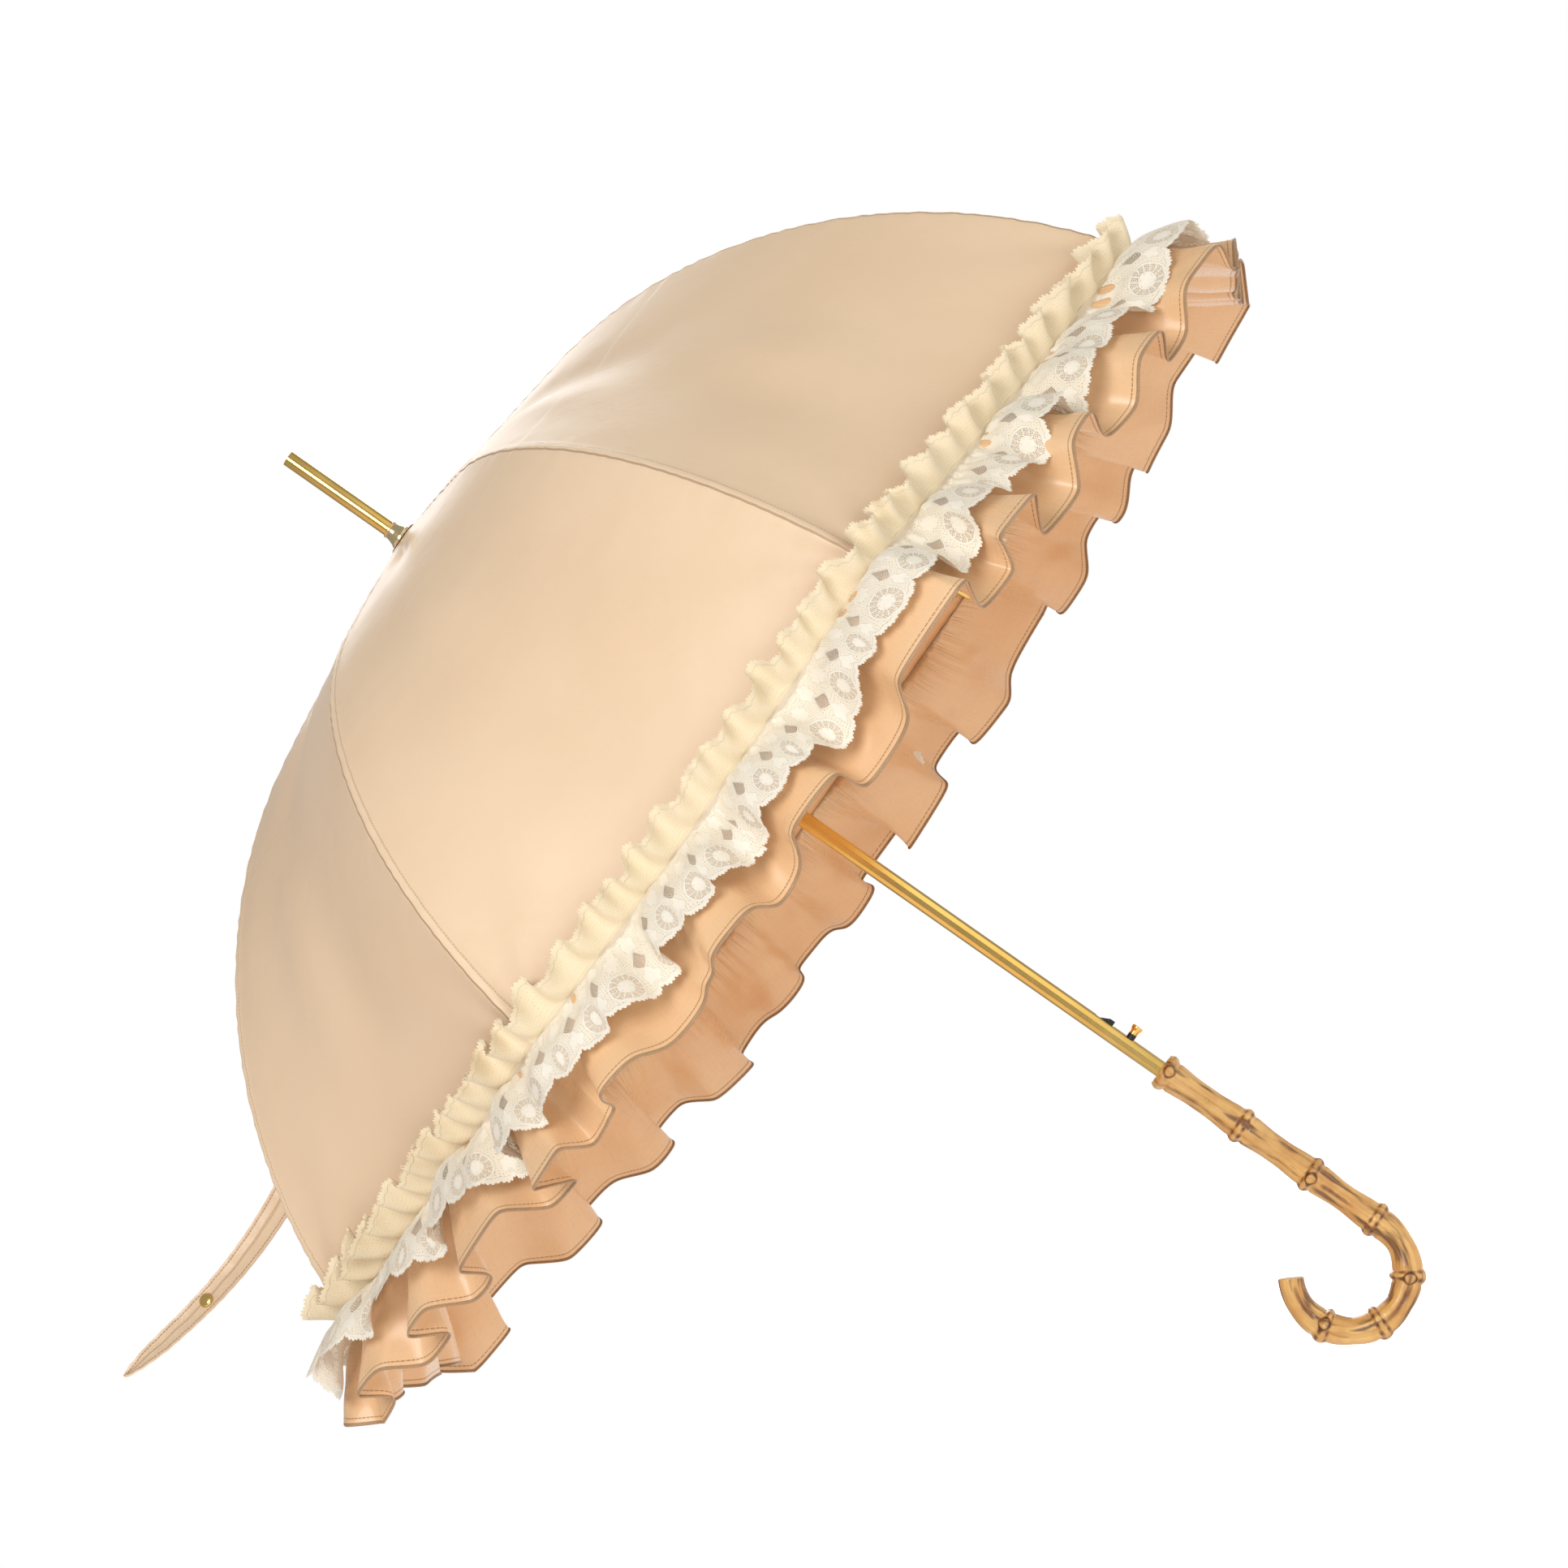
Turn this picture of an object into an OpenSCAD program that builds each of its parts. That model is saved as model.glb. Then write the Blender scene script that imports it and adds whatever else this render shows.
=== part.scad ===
// A lace parasol, open: a steel frame of eight ribs on a tube, a satin canopy with two ruffles, and
// a bamboo crook handle. +Z runs up the tube, and the origin is on its axis at the handle's top face.

/* [Overall] */
// Height of the canopy's crown above the handle's top face
crown_h = 608; // [520:1:760]
// Number of ribs, and so of gores in the canopy
rib_count = 8; // [8:1:8]
// Direction of the first rib about the tube, from the button's side
first_rib_angle = -71; // [-90:1:90]

/* [Ribs] */
// Radius of the rib rods
rib_r = 1.4; // [1:0.05:1.45]
// Length of the straighter first part of each rib, from the top notch
rib_straight_len = 160; // [120:1:200]
// Length of each rib from there to the stretcher's joint
rib_shoulder_len = 94; // [75:1:115]
// Length of each rib from the stretcher's joint to its tip
rib_outer_len = 315; // [250:1:380]
// Slope of the ribs where they leave the top notch, in degrees below level
slope_notch = 8.5; // [6:0.5:12]
// Slope where the shoulder begins
slope_shoulder = 10.5; // [8:0.5:15]
// Slope at the stretcher's joint
slope_joint = 27; // [22:0.5:32]
// Slope at the rib's tip
slope_hem = 75; // [60:0.5:80]
// Radius of the cap on each rib's tip
tip_r = 2.1; // [1.8:0.05:2.4]
// Length of that cap's sleeve
tip_len = 8; // [6:0.5:12]

/* [Joints] */
// Radius of the circle of wire that the ribs and the stretchers hang on
wire_circle_r = 12; // [11:0.25:14]
// Radius of the wire itself
wire_r = 0.6; // [0.5:0.05:0.8]
// Radius of the flat eyes at the ends of the ribs and stretchers
eye_r = 2.6; // [2.2:0.05:2.8]
// Thickness of those eyes
eye_t = 1.6; // [1.2:0.05:2]
// Radius of the rivets that join ribs and stretchers
rivet_r = 0.8; // [0.6:0.05:1]
// Thickness of one cheek of a rib's fork
cheek_t = 0.8; // [0.6:0.05:1]
// Radius of the stretcher rods
stretcher_r = 1.2; // [0.9:0.05:1.3]
// Depth of the notch and of the runner's gallery along the tube
hub_h = 10; // [8:0.5:14]
// Width of the notch and the gallery outside the wire's circle
hub_rim = 3; // [2.5:0.25:5]

/* [Tube] */
// Outer radius of the tube
tube_r = 5.4; // [5:0.05:5.8]
// Wall of the tube
tube_wall = 0.6; // [0.5:0.05:0.9]
// Length of the tube inside the handle
tube_in_handle = 45; // [42:1:60]
// Length of the ferrule above the crown
ferrule_len = 94; // [60:1:110]
// Height of the flared cap on the crown
cap_h = 10.6; // [8:0.2:14]
// Radius of that cap's foot
cap_r = 8.5; // [7.5:0.1:11]
// Length of the runner's sleeve below its wire
sleeve_len = 62.5; // [60:0.5:66]
// Wall of the runner's sleeve
sleeve_wall = 0.75; // [0.6:0.05:1.2]
// Radius of the opening spring's coil
coil_r = 7.4; // [7.2:0.05:7.8]
// Number of turns in the opening spring
coil_turns = 16; // [10:1:20]

/* [Release] */
// Height of the catch above the handle
catch_z = 48; // [46:1:52]
// Height of the button above the handle
button_z = 28; // [20:1:29]
// Radius of the button
button_r = 3.85; // [3.6:0.05:4.2]
// How far the button stands out from the tube's axis
button_reach = 14.4; // [13:0.1:16]
// How far the button and the catch turn on their pin, in degrees
release_turn = 3; // [2.5:0.1:3]

/* [Handle] */
// Length of the handle's straight part
grip_len = 176; // [150:1:210]
// Radius of the bamboo between its knuckles
bamboo_r = 10.2; // [9.5:0.1:12]
// How far a knuckle stands out from the bamboo
knuckle_out = 2.6; // [1:0.1:3.5]
// Radius of the crook's centre line
crook_r = 38; // [34:0.5:50]
// How far the crook turns, in degrees
crook_turn = 230; // [180:1:235]

/* [Cloth] */
// Thickness of the canopy and the ruffles
cloth_t = 1; // [0.8:0.1:1.2]
// Height of the canopy above the middle of the ribs
cloth_lift = 4.6; // [4.4:0.1:6]
// How far each gore sags in between its ribs, as a share of its radius
gore_sag = 0.03; // [0:0.005:0.05]
// Width of the satin ruffle
satin_w = 78; // [50:1:100]
// Flare of the satin ruffle from the tube's direction, in degrees
satin_flare = 36; // [25:1:50]
// Width of the lace below its gathering line
lace_w = 48; // [30:1:60]
// Width of the lace's frill above that line
lace_header = 20; // [10:1:30]
// Extra flare of the lace over the satin, in degrees
lace_extra_flare = 10; // [6:1:20]
// Waves in each gore's stretch of ruffle
waves = 5; // [3:1:6]
// Rise of the waves at the satin's free edge
wave_h = 13; // [6:1:16]
// Length of the tie strap
strap_len = 227; // [180:1:260]
// Width of the tie strap at its sewn end
strap_w = 20; // [14:1:26]
// Radius of the snap on the strap
snap_r = 5; // [4:0.1:6]

/* [Clearances] */
// Radial clearance of pins, wires and sliding bores
fit = 0.06; // [0.03:0.01:0.09]
// Gap between flat pieces that turn on one another
side_gap = 0.1; // [0.08:0.01:0.2]
// Gap between layers of cloth
cloth_gap = 0.6; // [0.4:0.1:1]

/* [Hidden] */
$fn = 48;

GOLD = [0.83, 0.62, 0.3];
PALE_GOLD = [0.87, 0.76, 0.5];
STEEL = [0.85, 0.86, 0.86];
BLACK = [0.06, 0.06, 0.06];
BAMBOO = [0.8, 0.6, 0.32];
SATIN = [0.9, 0.78, 0.64];
LACE = [0.96, 0.92, 0.82];

deg = 180 / PI;
gore = 360 / rib_count;
joint_s = rib_straight_len + rib_shoulder_len;
tip_s = joint_s + rib_outer_len;
notch_z = crown_h - 6;
rod_start = 7;
snug = 0.02;
slot_w = eye_t + 0.4;
hub_r = wire_circle_r + hub_rim;
hub_core_r = wire_circle_r - eye_r - 0.2;
tube_bore = tube_r - tube_wall;
sleeve_bore = tube_r + fit;
sleeve_r = sleeve_bore + sleeve_wall;

// A point on a rib lies s along it from the notch's wire, in the plane of the rib: [radius, height].
function bend_to(p, len, a, b) =
    p + len * deg / (b - a) * [sin(b) - sin(a), cos(b) - cos(a)];
shoulder_p = bend_to([wire_circle_r, notch_z], rib_straight_len, slope_notch, slope_shoulder);
joint_p = bend_to(shoulder_p, rib_shoulder_len, slope_shoulder, slope_joint);
function rib_slope(s) =
    s <= rib_straight_len ? slope_notch + (slope_shoulder - slope_notch) * s / rib_straight_len
    : s <= joint_s ? slope_shoulder + (slope_joint - slope_shoulder) * (s - rib_straight_len) / rib_shoulder_len
    : slope_joint + (slope_hem - slope_joint) * (s - joint_s) / rib_outer_len;
function rib_point(s) =
    s <= 0 ? [wire_circle_r, notch_z]
    : s <= rib_straight_len ? bend_to([wire_circle_r, notch_z], s, slope_notch, rib_slope(s))
    : s <= joint_s ? bend_to(shoulder_p, s - rib_straight_len, slope_shoulder, rib_slope(s))
    : s <= joint_s + 0.001 ? joint_p
    : bend_to(joint_p, s - joint_s, slope_joint, rib_slope(s));

// The stretcher is as long as the rib from wire to joint, so that the two fold as mirror images.
stretcher_len = norm(joint_p - [wire_circle_r, notch_z]);
stretcher_slope = asin((notch_z - joint_p.y) / stretcher_len);
runner_z = 2 * joint_p.y - notch_z;

spring_top = notch_z - hub_h / 2 - 0.4;
spring_foot = runner_z + hub_h / 2 + 0.4;
release_pin_z = -22;
release_pin_r = 1;
strip_x = 0.9;
strip_t = 0.7;
catch_h = 12;
catch_out = 2.8;
catch_w = 3;
stem_r = 2.9;
// The window meets the catch when the parasol is shut, with its wire this far above the catch.
shut_wire_over_catch = sleeve_len - catch_h / 2 - 4.7;

// --- Shapes that several pieces share ---

module across(r, w) {
    rotate([90, 0, 0])
        cylinder(h = w, r = r, center = true);
}

module at_rib(s) {
    p = rib_point(s);
    translate([p.x, 0, p.y])
        rotate([0, rib_slope(s), 0])
            children();
}

// A round rod along the rib from s0 to s1, both within one of its bends
module rod(s0, s1) {
    a = rib_slope(s0);
    b = rib_slope(s1);
    bend_r = (s1 - s0) * deg / (b - a);
    p = rib_point(s0) - bend_r * [sin(a), cos(a)];
    translate([p.x, 0, p.y])
        rotate([90, 0, 0])
            rotate([0, 0, 90 - b])
                rotate_extrude(angle = b - a, $fn = 360)
                    translate([bend_r, 0])
                        circle(rib_r, $fn = 24);
}

module rib_place(i) {
    rotate([0, 0, first_rib_angle + gore * i])
        children();
}

module wire_ring(z, r) {
    translate([0, 0, z])
        rotate_extrude($fn = 96)
            translate([wire_circle_r, 0])
                circle(r, $fn = 24);
}

// A slotted hub whose wire hangs at height z; its slots run down from the height top
module slotted_hub(z, bore, top) {
    difference() {
        translate([0, 0, z - hub_h / 2])
            cylinder(h = hub_h, r = hub_r);
        translate([0, 0, z - hub_h])
            cylinder(h = 2 * hub_h, r = bore);
        wire_ring(z, wire_r + snug);
        for (i = [0 : rib_count - 1])
            rib_place(i)
                translate([hub_core_r, -slot_w / 2, z - hub_h])
                    cube([hub_r, slot_w, top - z + hub_h]);
    }
}

// Rings of points, each a closed loop, joined in turn and back to the first: a closed solid
module ring_solid(rings) {
    n = len(rings);
    m = len(rings[0]);
    polyhedron(
        points = [for (ring = rings) each ring],
        faces = [for (i = [0 : n - 1], j = [0 : m - 1])
            let (a = i * m + j, b = i * m + (j + 1) % m)
            let (c = (i + 1) % n * m + (j + 1) % m, d = (i + 1) % n * m + j)
            each [[a, b, c], [a, c, d]]],
        convexity = 8);
}

// --- The tube and what is fixed to it ---

module shaft_tube() {
    color(GOLD)
        difference() {
            translate([0, 0, -tube_in_handle])
                cylinder(h = tube_in_handle + crown_h - 2, r = tube_r);
            translate([0, 0, -tube_in_handle - 1])
                cylinder(h = tube_in_handle + crown_h, r = tube_bore);
            translate([0, -catch_w / 2 - 0.4, catch_z - catch_h / 2 - 1])
                cube([2 * tube_r, catch_w + 0.8, catch_h + 2]);
            translate([0, 0, button_z])
                rotate([0, 90, 0])
                    cylinder(h = 2 * tube_r, r = stem_r + 0.55);
            translate([0, 0, release_pin_z])
                across(release_pin_r + snug, 3 * tube_r);
            translate([0, 0, handle_pin_z])
                across(handle_pin_r + snug, 3 * tube_r);
            translate([0, 0, notch_z - 2])
                across(notch_pin_r + snug, 3 * tube_r);
        }
}

spigot_r = tube_bore - 0.05;
ferrule_r = spigot_r + 0.45;
ferrule_seat = 24;
rosette_t = 0.8;
cap_foot = cloth_t / 2 + 0.15 + rosette_t;

// The part inside the tube and the cap is a little thinner than the free part above them
module ferrule() {
    free_from = cap_foot + cap_h + 0.2;
    color(GOLD)
        translate([0, 0, crown_h - ferrule_seat])
            difference() {
                union() {
                    cylinder(h = ferrule_seat + free_from + 1, r = spigot_r);
                    translate([0, 0, ferrule_seat + free_from])
                        cylinder(h = ferrule_len - free_from, r = ferrule_r);
                }
                translate([0, 0, -1])
                    cylinder(h = ferrule_seat + ferrule_len - 4, r = spigot_r - 0.8);
                translate([0, 0, ferrule_seat - crown_h + notch_z - 2])
                    across(notch_pin_r + snug, 3 * tube_r);
            }
}

module crown_rosette() {
    color(SATIN)
        translate([0, 0, crown_h + cloth_t / 2 + 0.1])
            difference() {
                cylinder(h = rosette_t, r = cap_r + 3);
                translate([0, 0, -1])
                    cylinder(h = rosette_t + 2, r = spigot_r + fit);
            }
}

// The cap flares down from the ferrule to a thin foot
module crown_cap() {
    z0 = crown_h + cap_foot;
    neck = spigot_r + fit;
    color(PALE_GOLD)
        translate([0, 0, z0])
            rotate_extrude()
                polygon([[neck, 0], [cap_r, 0], [cap_r, 1.4], [cap_r - 0.8, 2.2],
                    [neck + 1.5, cap_h * 0.55], [neck + 0.9, cap_h * 0.8],
                    [neck + 1.3, cap_h * 0.88], [neck + 1.3, cap_h - 0.3],
                    [neck + 1, cap_h], [neck, cap_h]]);
}

notch_pin_r = 0.9;
module top_notch() {
    color(BLACK)
        difference() {
            slotted_hub(notch_z, tube_r + snug, notch_z + eye_r + 0.2);
            translate([0, 0, notch_z - 2])
                across(notch_pin_r + snug, 3 * hub_r);
        }
}

module notch_wire() {
    color(STEEL)
        wire_ring(notch_z, wire_r);
}

module notch_pin() {
    color(STEEL)
        translate([0, 0, notch_z - 2])
            across(notch_pin_r, 2 * hub_core_r);
}

// The coil's middle line climbs evenly; each ring of points is square to the tube's radius there
coil_wire = 0.55;
coil_steps = 12;
module opening_spring() {
    sides = 6;
    steps = coil_turns * coil_steps;
    rise = spring_top - spring_foot - 2 * coil_wire;
    points = [for (i = [0 : steps], k = [0 : sides - 1])
        let (a = 360 * i / coil_steps, b = 360 * k / sides, r = coil_r + coil_wire * cos(b))
        [r * cos(a), r * sin(a), spring_foot + coil_wire + rise * i / steps + coil_wire * sin(b)]];
    walls = [for (i = [0 : steps - 1], k = [0 : sides - 1])
        let (a = i * sides + k, b = i * sides + (k + 1) % sides)
        each [[a, b, b + sides], [a, b + sides, a + sides]]];
    foot = [for (k = [sides - 1 : -1 : 0]) k];
    head = [for (k = [0 : sides - 1]) steps * sides + k];
    color(STEEL)
        polyhedron(points, concat(walls, [foot, head]), convexity = 10);
}

// --- The runner ---

module runner_sleeve() {
    wide = catch_w + 1.4;
    color(GOLD)
        difference() {
            translate([0, 0, runner_z - sleeve_len])
                cylinder(h = sleeve_len + hub_h / 2, r = sleeve_r);
            translate([0, 0, runner_z - sleeve_len - 1])
                cylinder(h = sleeve_len + hub_h + 2, r = sleeve_bore);
            translate([0, -wide / 2, runner_z - shut_wire_over_catch - catch_h / 2 - 0.8])
                cube([2 * sleeve_r, wide, catch_h + 2]);
        }
}

module runner_gallery() {
    color(BLACK)
        slotted_hub(runner_z, sleeve_r + snug, runner_z + hub_h);
}

module runner_wire() {
    color(STEEL)
        wire_ring(runner_z, wire_r);
}

// --- One rib, in two lengths joined where the stretcher's fork holds it, and its stretcher ---

inner_tongue = 1.2;
fork_in = inner_tongue / 2 + side_gap;
fork_out = fork_in + cheek_t;
strut_in = fork_out + side_gap;
strut_out = strut_in + 0.7;
head_in = strut_out + side_gap;
knuckle_r = 2.3;

module wire_eye(tongue_len) {
    difference() {
        union() {
            across(eye_r, eye_t);
            translate([0, -eye_t / 2, -1.3])
                cube([tongue_len, eye_t, 2.6]);
        }
        across(wire_r + 0.1, 2 * eye_t);
    }
}

module inner_rib(i) {
    color(STEEL)
        rib_place(i) {
            at_rib(0)
                wire_eye(rod_start + 2);
            rod(rod_start, rib_straight_len - snug);
            rod(rib_straight_len + snug, joint_s - 4.6);
            at_rib(rib_straight_len)
                sphere(rib_r + snug);
            at_rib(joint_s) {
                translate([-8, -inner_tongue / 2, -1.2])
                    cube([8, inner_tongue, 2.4]);
                across(knuckle_r, inner_tongue);
                across(rivet_r, 2 * head_in + 1);
                for (side = [-1, 1])
                    translate([0, side * (head_in + 0.25), 0])
                        across(2 * rivet_r, 0.5);
            }
        }
}

// Two cheeks on the rivet, from half-width a to half-width b, joined by a web past the distance reach
module fork(a, b, reach, end, half_h) {
    difference() {
        for (side = [-1, 1])
            translate([0, side * (a + b) / 2, 0]) {
                across(knuckle_r, b - a);
                translate([0, -(b - a) / 2, -half_h])
                    cube([end, b - a, 2 * half_h]);
            }
        across(rivet_r + fit, 4 * b);
    }
    translate([reach, -b, -half_h])
        cube([end - reach, 2 * b, 2 * half_h]);
}

module outer_rib(i) {
    color(STEEL)
        rib_place(i) {
            at_rib(joint_s)
                fork(fork_in, fork_out, 4, 8, 1.2);
            rod(joint_s + 7, tip_s);
        }
}

module rib_tip(i) {
    color(GOLD)
        rib_place(i)
            at_rib(tip_s)
                rotate([0, 90, 0])
                    difference() {
                        union() {
                            translate([0, 0, 1 - tip_len])
                                cylinder(h = tip_len, r = tip_r);
                            translate([0, 0, 1])
                                sphere(tip_r);
                        }
                        translate([0, 0, -tip_len])
                            cylinder(h = tip_len + 0.1, r = rib_r + fit);
                    }
}

module stretcher(i) {
    p = joint_p;
    color(STEEL)
        rib_place(i)
            translate([p.x, 0, p.y])
                rotate([0, 180 - stretcher_slope, 0]) {
                    fork(strut_in, strut_out, 6.8, 10, 1.1);
                    translate([9, 0, 0])
                        rotate([0, 90, 0])
                            cylinder(h = stretcher_len - 17, r = stretcher_r);
                    translate([stretcher_len, 0, 0])
                        rotate([0, 180, 0])
                            wire_eye(rod_start + 2);
                }
}

// --- The release inside the tube's foot: a strip on a pin, which carries the catch and the button ---

module release_pin() {
    color(STEEL)
        translate([0, 0, release_pin_z])
            across(release_pin_r, 2 * tube_r - 0.4);
}

module release_strip() {
    wide = 5;
    color(STEEL)
        difference() {
            union() {
                translate([0, 0, release_pin_z])
                    across(2.2, wide);
                translate([strip_x - strip_t / 2, -wide / 2, release_pin_z])
                    cube([strip_t, wide, catch_z + catch_h / 2 - release_pin_z]);
            }
            translate([0, 0, release_pin_z])
                across(release_pin_r + fit, 2 * wide);
        }
}

// Square below, where it holds the sleeve's window, and sloped above, where the sleeve rides over it
module catch() {
    x0 = strip_x + strip_t / 2;
    x1 = tube_r + catch_out;
    z0 = catch_z - catch_h / 2;
    color(BLACK)
        rotate([90, 0, 0])
            linear_extrude(catch_w, center = true)
                polygon([[x0, z0], [x1, z0], [x1, z0 + catch_h * 0.3], [tube_r - 0.8, z0 + catch_h - 1],
                    [x0, z0 + catch_h - 1]]);
}

// The cap stays clear of the tube when the button is pressed in
button_base = tube_r + 0.3 + (button_z - release_pin_z) * sin(release_turn);
module button_stem() {
    x0 = strip_x + strip_t / 2;
    color(BLACK)
        translate([x0, 0, button_z])
            rotate([0, 90, 0])
                cylinder(h = button_base - x0, r = stem_r);
}

// A flared button, dished at its face
module button_cap() {
    h = button_reach - button_base;
    color(GOLD)
        translate([button_base, 0, button_z])
            rotate([0, 90, 0])
                rotate_extrude()
                    polygon([[0, 0], [button_r * 0.72, 0], [button_r * 0.76, h * 0.4],
                        [button_r, h * 0.75], [button_r, h - 0.3], [button_r - 0.4, h],
                        [button_r - 1.2, h - 0.3], [0, h - 0.5]]);
}

// --- The bamboo handle ---

handle_pin_z = -36;
handle_pin_r = 1.2;
grip_knuckles = [-4, -64, -119, -grip_len + 6];
crook_knuckles = [58, 114, 170];

// A ring that swells round the bamboo, in the plane across it
module knuckle() {
    rotate_extrude()
        polygon([[0, -6], [bamboo_r, -6], [bamboo_r + knuckle_out * 0.75, -2], [bamboo_r + knuckle_out, 0],
            [bamboo_r + knuckle_out * 0.75, 2], [bamboo_r, 6], [0, 6]]);
}

module handle() {
    color(BAMBOO)
        difference() {
            union() {
                translate([0, 0, -grip_len])
                    cylinder(h = grip_len, r = bamboo_r);
                for (z = grip_knuckles)
                    intersection() {
                        translate([0, 0, z])
                            knuckle();
                        translate([0, 0, -grip_len - 20])
                            cylinder(h = grip_len + 20, r = 2 * bamboo_r);
                    }
                translate([-crook_r, 0, -grip_len])
                    rotate([90, 0, 0]) {
                        rotate([0, 0, -crook_turn])
                            rotate_extrude(angle = crook_turn, $fn = 96)
                                translate([crook_r, 0])
                                    circle(bamboo_r);
                        for (a = crook_knuckles)
                            rotate([0, 0, -a])
                                translate([crook_r, 0, 0])
                                    rotate([90, 0, 0])
                                        knuckle();
                    }
            }
            translate([0, 0, -tube_in_handle - 1])
                cylinder(h = tube_in_handle + 2, r = tube_r + snug);
            translate([0, 0, handle_pin_z])
                across(handle_pin_r + snug, 4 * bamboo_r);
        }
}

module handle_pin() {
    color(GOLD)
        translate([0, 0, handle_pin_z])
            across(handle_pin_r, 2 * bamboo_r);
}

// --- The cloth ---

hem_columns = 6 * waves;
cloth_rows = 18;

// A ring of points at radius r and height z, straight from rib to rib but for the sag of each gore
function gore_ring(p, columns) = [for (i = [0 : rib_count - 1], k = [0 : columns - 1])
    let (across_gore = 2 * k / columns - 1, turn = gore / 2 * across_gore)
    let (r = p.x * (cos(gore / 2) / cos(turn) - gore_sag * (1 - pow(across_gore, 2))))
    let (a = first_rib_angle + gore * (i + 0.5) + turn)
    [r * cos(a), r * sin(a), p.y]];

function cloth_point(s, lift) = rib_point(s) + (cloth_lift + lift) * [sin(rib_slope(s)), cos(rib_slope(s))];
function cloth_profile(lift) = concat(
    [[spigot_r + cloth_gap, crown_h + lift], [wire_circle_r + 3, crown_h + lift]],
    [for (i = [0 : cloth_rows]) cloth_point(24 + (tip_s - 24) * i / cloth_rows, lift)]);

function turned(list) = [for (i = [len(list) - 1 : -1 : 0]) list[i]];

module canopy() {
    color(SATIN)
        ring_solid([for (p = concat(turned(cloth_profile(cloth_t / 2)), cloth_profile(-cloth_t / 2)))
            gore_ring(p, 6)]);
}

// The line below the hem from p along a flare, at the distance d and with its waves: one ring of it
function wave_ring(p, d, flare, off) =
    let (base = gore_ring([p.x, p.y], hem_columns))
    [for (j = [0 : len(base) - 1])
        let (b = base[j], a = atan2(b.y, b.x), w = off + wave_h * d / satin_w * sin(360 * waves * j / hem_columns))
        let (out = d * sin(flare) + w * cos(flare), down = d * cos(flare) - w * sin(flare))
        [b.x + out * cos(a), b.y + out * sin(a), b.z - down]];

hem_slip = cloth_gap * [cos(slope_hem), -sin(slope_hem)];
module satin_ruffle() {
    top = cloth_point(tip_s, 0) + hem_slip;
    rows = 4;
    color(SATIN)
        ring_solid([for (side = [1, -1], i = [0 : rows])
            wave_ring(top, satin_w * (side > 0 ? rows - i : i) / rows, satin_flare, side * cloth_t / 2)]);
}

lace_lift = cloth_t + cloth_gap;
module lace_ruffle() {
    top = cloth_point(tip_s, lace_lift);
    flare = satin_flare + lace_extra_flare;
    rows = 3;
    function frill(i, off) = gore_ring(cloth_point(tip_s - lace_header * i / 2, lace_lift + off), hem_columns);
    color(LACE)
        ring_solid(concat(
            [for (i = [0 : rows - 1]) wave_ring(top, lace_w * (rows - i) / rows, flare, cloth_t / 2)],
            [for (i = [0 : 2]) frill(i, cloth_t / 2)],
            [for (i = [2 : -1 : 0]) frill(i, -cloth_t / 2)],
            [for (i = [1 : rows]) wave_ring(top, lace_w * i / rows, flare, -cloth_t / 2)]));
}

// The strap is sewn over the sixth rib and hangs away from it, turning a little as it goes
strap_rib = 5;
strap_s = joint_s + rib_outer_len * 0.52;
strap_t = 1.2;
strap_twist = 40;
strap_taper = 0.28;
strap_way = [-1, 0, 0.045];
strap_sag = 15;
snap_at = 0.67;
strap_a = first_rib_angle + gore * strap_rib;
strap_p = cloth_point(strap_s, cloth_t + cloth_gap + strap_w / 4);
strap_start = [strap_p.x * cos(strap_a), strap_p.x * sin(strap_a), strap_p.y];
function strap_dir() = strap_way / norm(strap_way);
function strap_side() = cross(strap_dir(), [0, 0, 1]) / norm(cross(strap_dir(), [0, 0, 1]));
function strap_wide(t) =
    let (up = cross(strap_side(), strap_dir()))
    cos(strap_twist * t) * up + sin(strap_twist * t) * strap_side();
function strap_face(t) = cross(strap_dir(), strap_wide(t));
function strap_mid(t) = strap_start + strap_len * t * strap_dir() - strap_sag * sin(180 * t) * [0, 0, 1];

module tie_strap() {
    steps = 14;
    rings = [for (i = [0 : steps])
        let (t = i / steps, w = strap_w / 2 * (1 - strap_taper * t) * strap_wide(t), h = strap_t / 2 * strap_face(t))
        [for (c = [[1, 1], [-1, 1], [-1, -1], [1, -1]]) strap_mid(t) + c.x * w + c.y * h]];
    walls = [for (i = [0 : steps - 1], k = [0 : 3])
        let (a = 4 * i + k, b = 4 * i + (k + 1) % 4)
        each [[a, b, b + 4], [a, b + 4, a + 4]]];
    color(SATIN)
        polyhedron([for (ring = rings) each ring], concat(walls, [[3, 2, 1, 0], [for (k = [0 : 3]) 4 * steps + k]]),
            convexity = 4);
}

module on_strap(side) {
    x = strap_dir();
    y = strap_wide(snap_at);
    z = strap_face(snap_at);
    o = strap_mid(snap_at);
    multmatrix([[x.x, y.x, z.x, o.x], [x.y, y.y, z.y, o.y], [x.z, y.z, z.z, o.z]])
        mirror([0, 0, side > 0 ? 0 : 1])
            translate([0, 0, strap_t / 2 + 0.3])
                children();
}

module snap_cap() {
    color(GOLD)
        on_strap(-1)
            rotate_extrude()
                polygon([[0, 0], [snap_r, 0], [snap_r, 0.6], [snap_r * 0.84, 1.2], [snap_r * 0.5, 1.7], [0, 1.9]]);
}

module snap_socket() {
    color(GOLD)
        on_strap(1)
            difference() {
                union() {
                    cylinder(h = 0.8, r = snap_r);
                    cylinder(h = 2, r = snap_r * 0.6);
                }
                translate([0, 0, 0.8])
                    cylinder(h = 2, r = snap_r * 0.36);
            }
}

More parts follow.
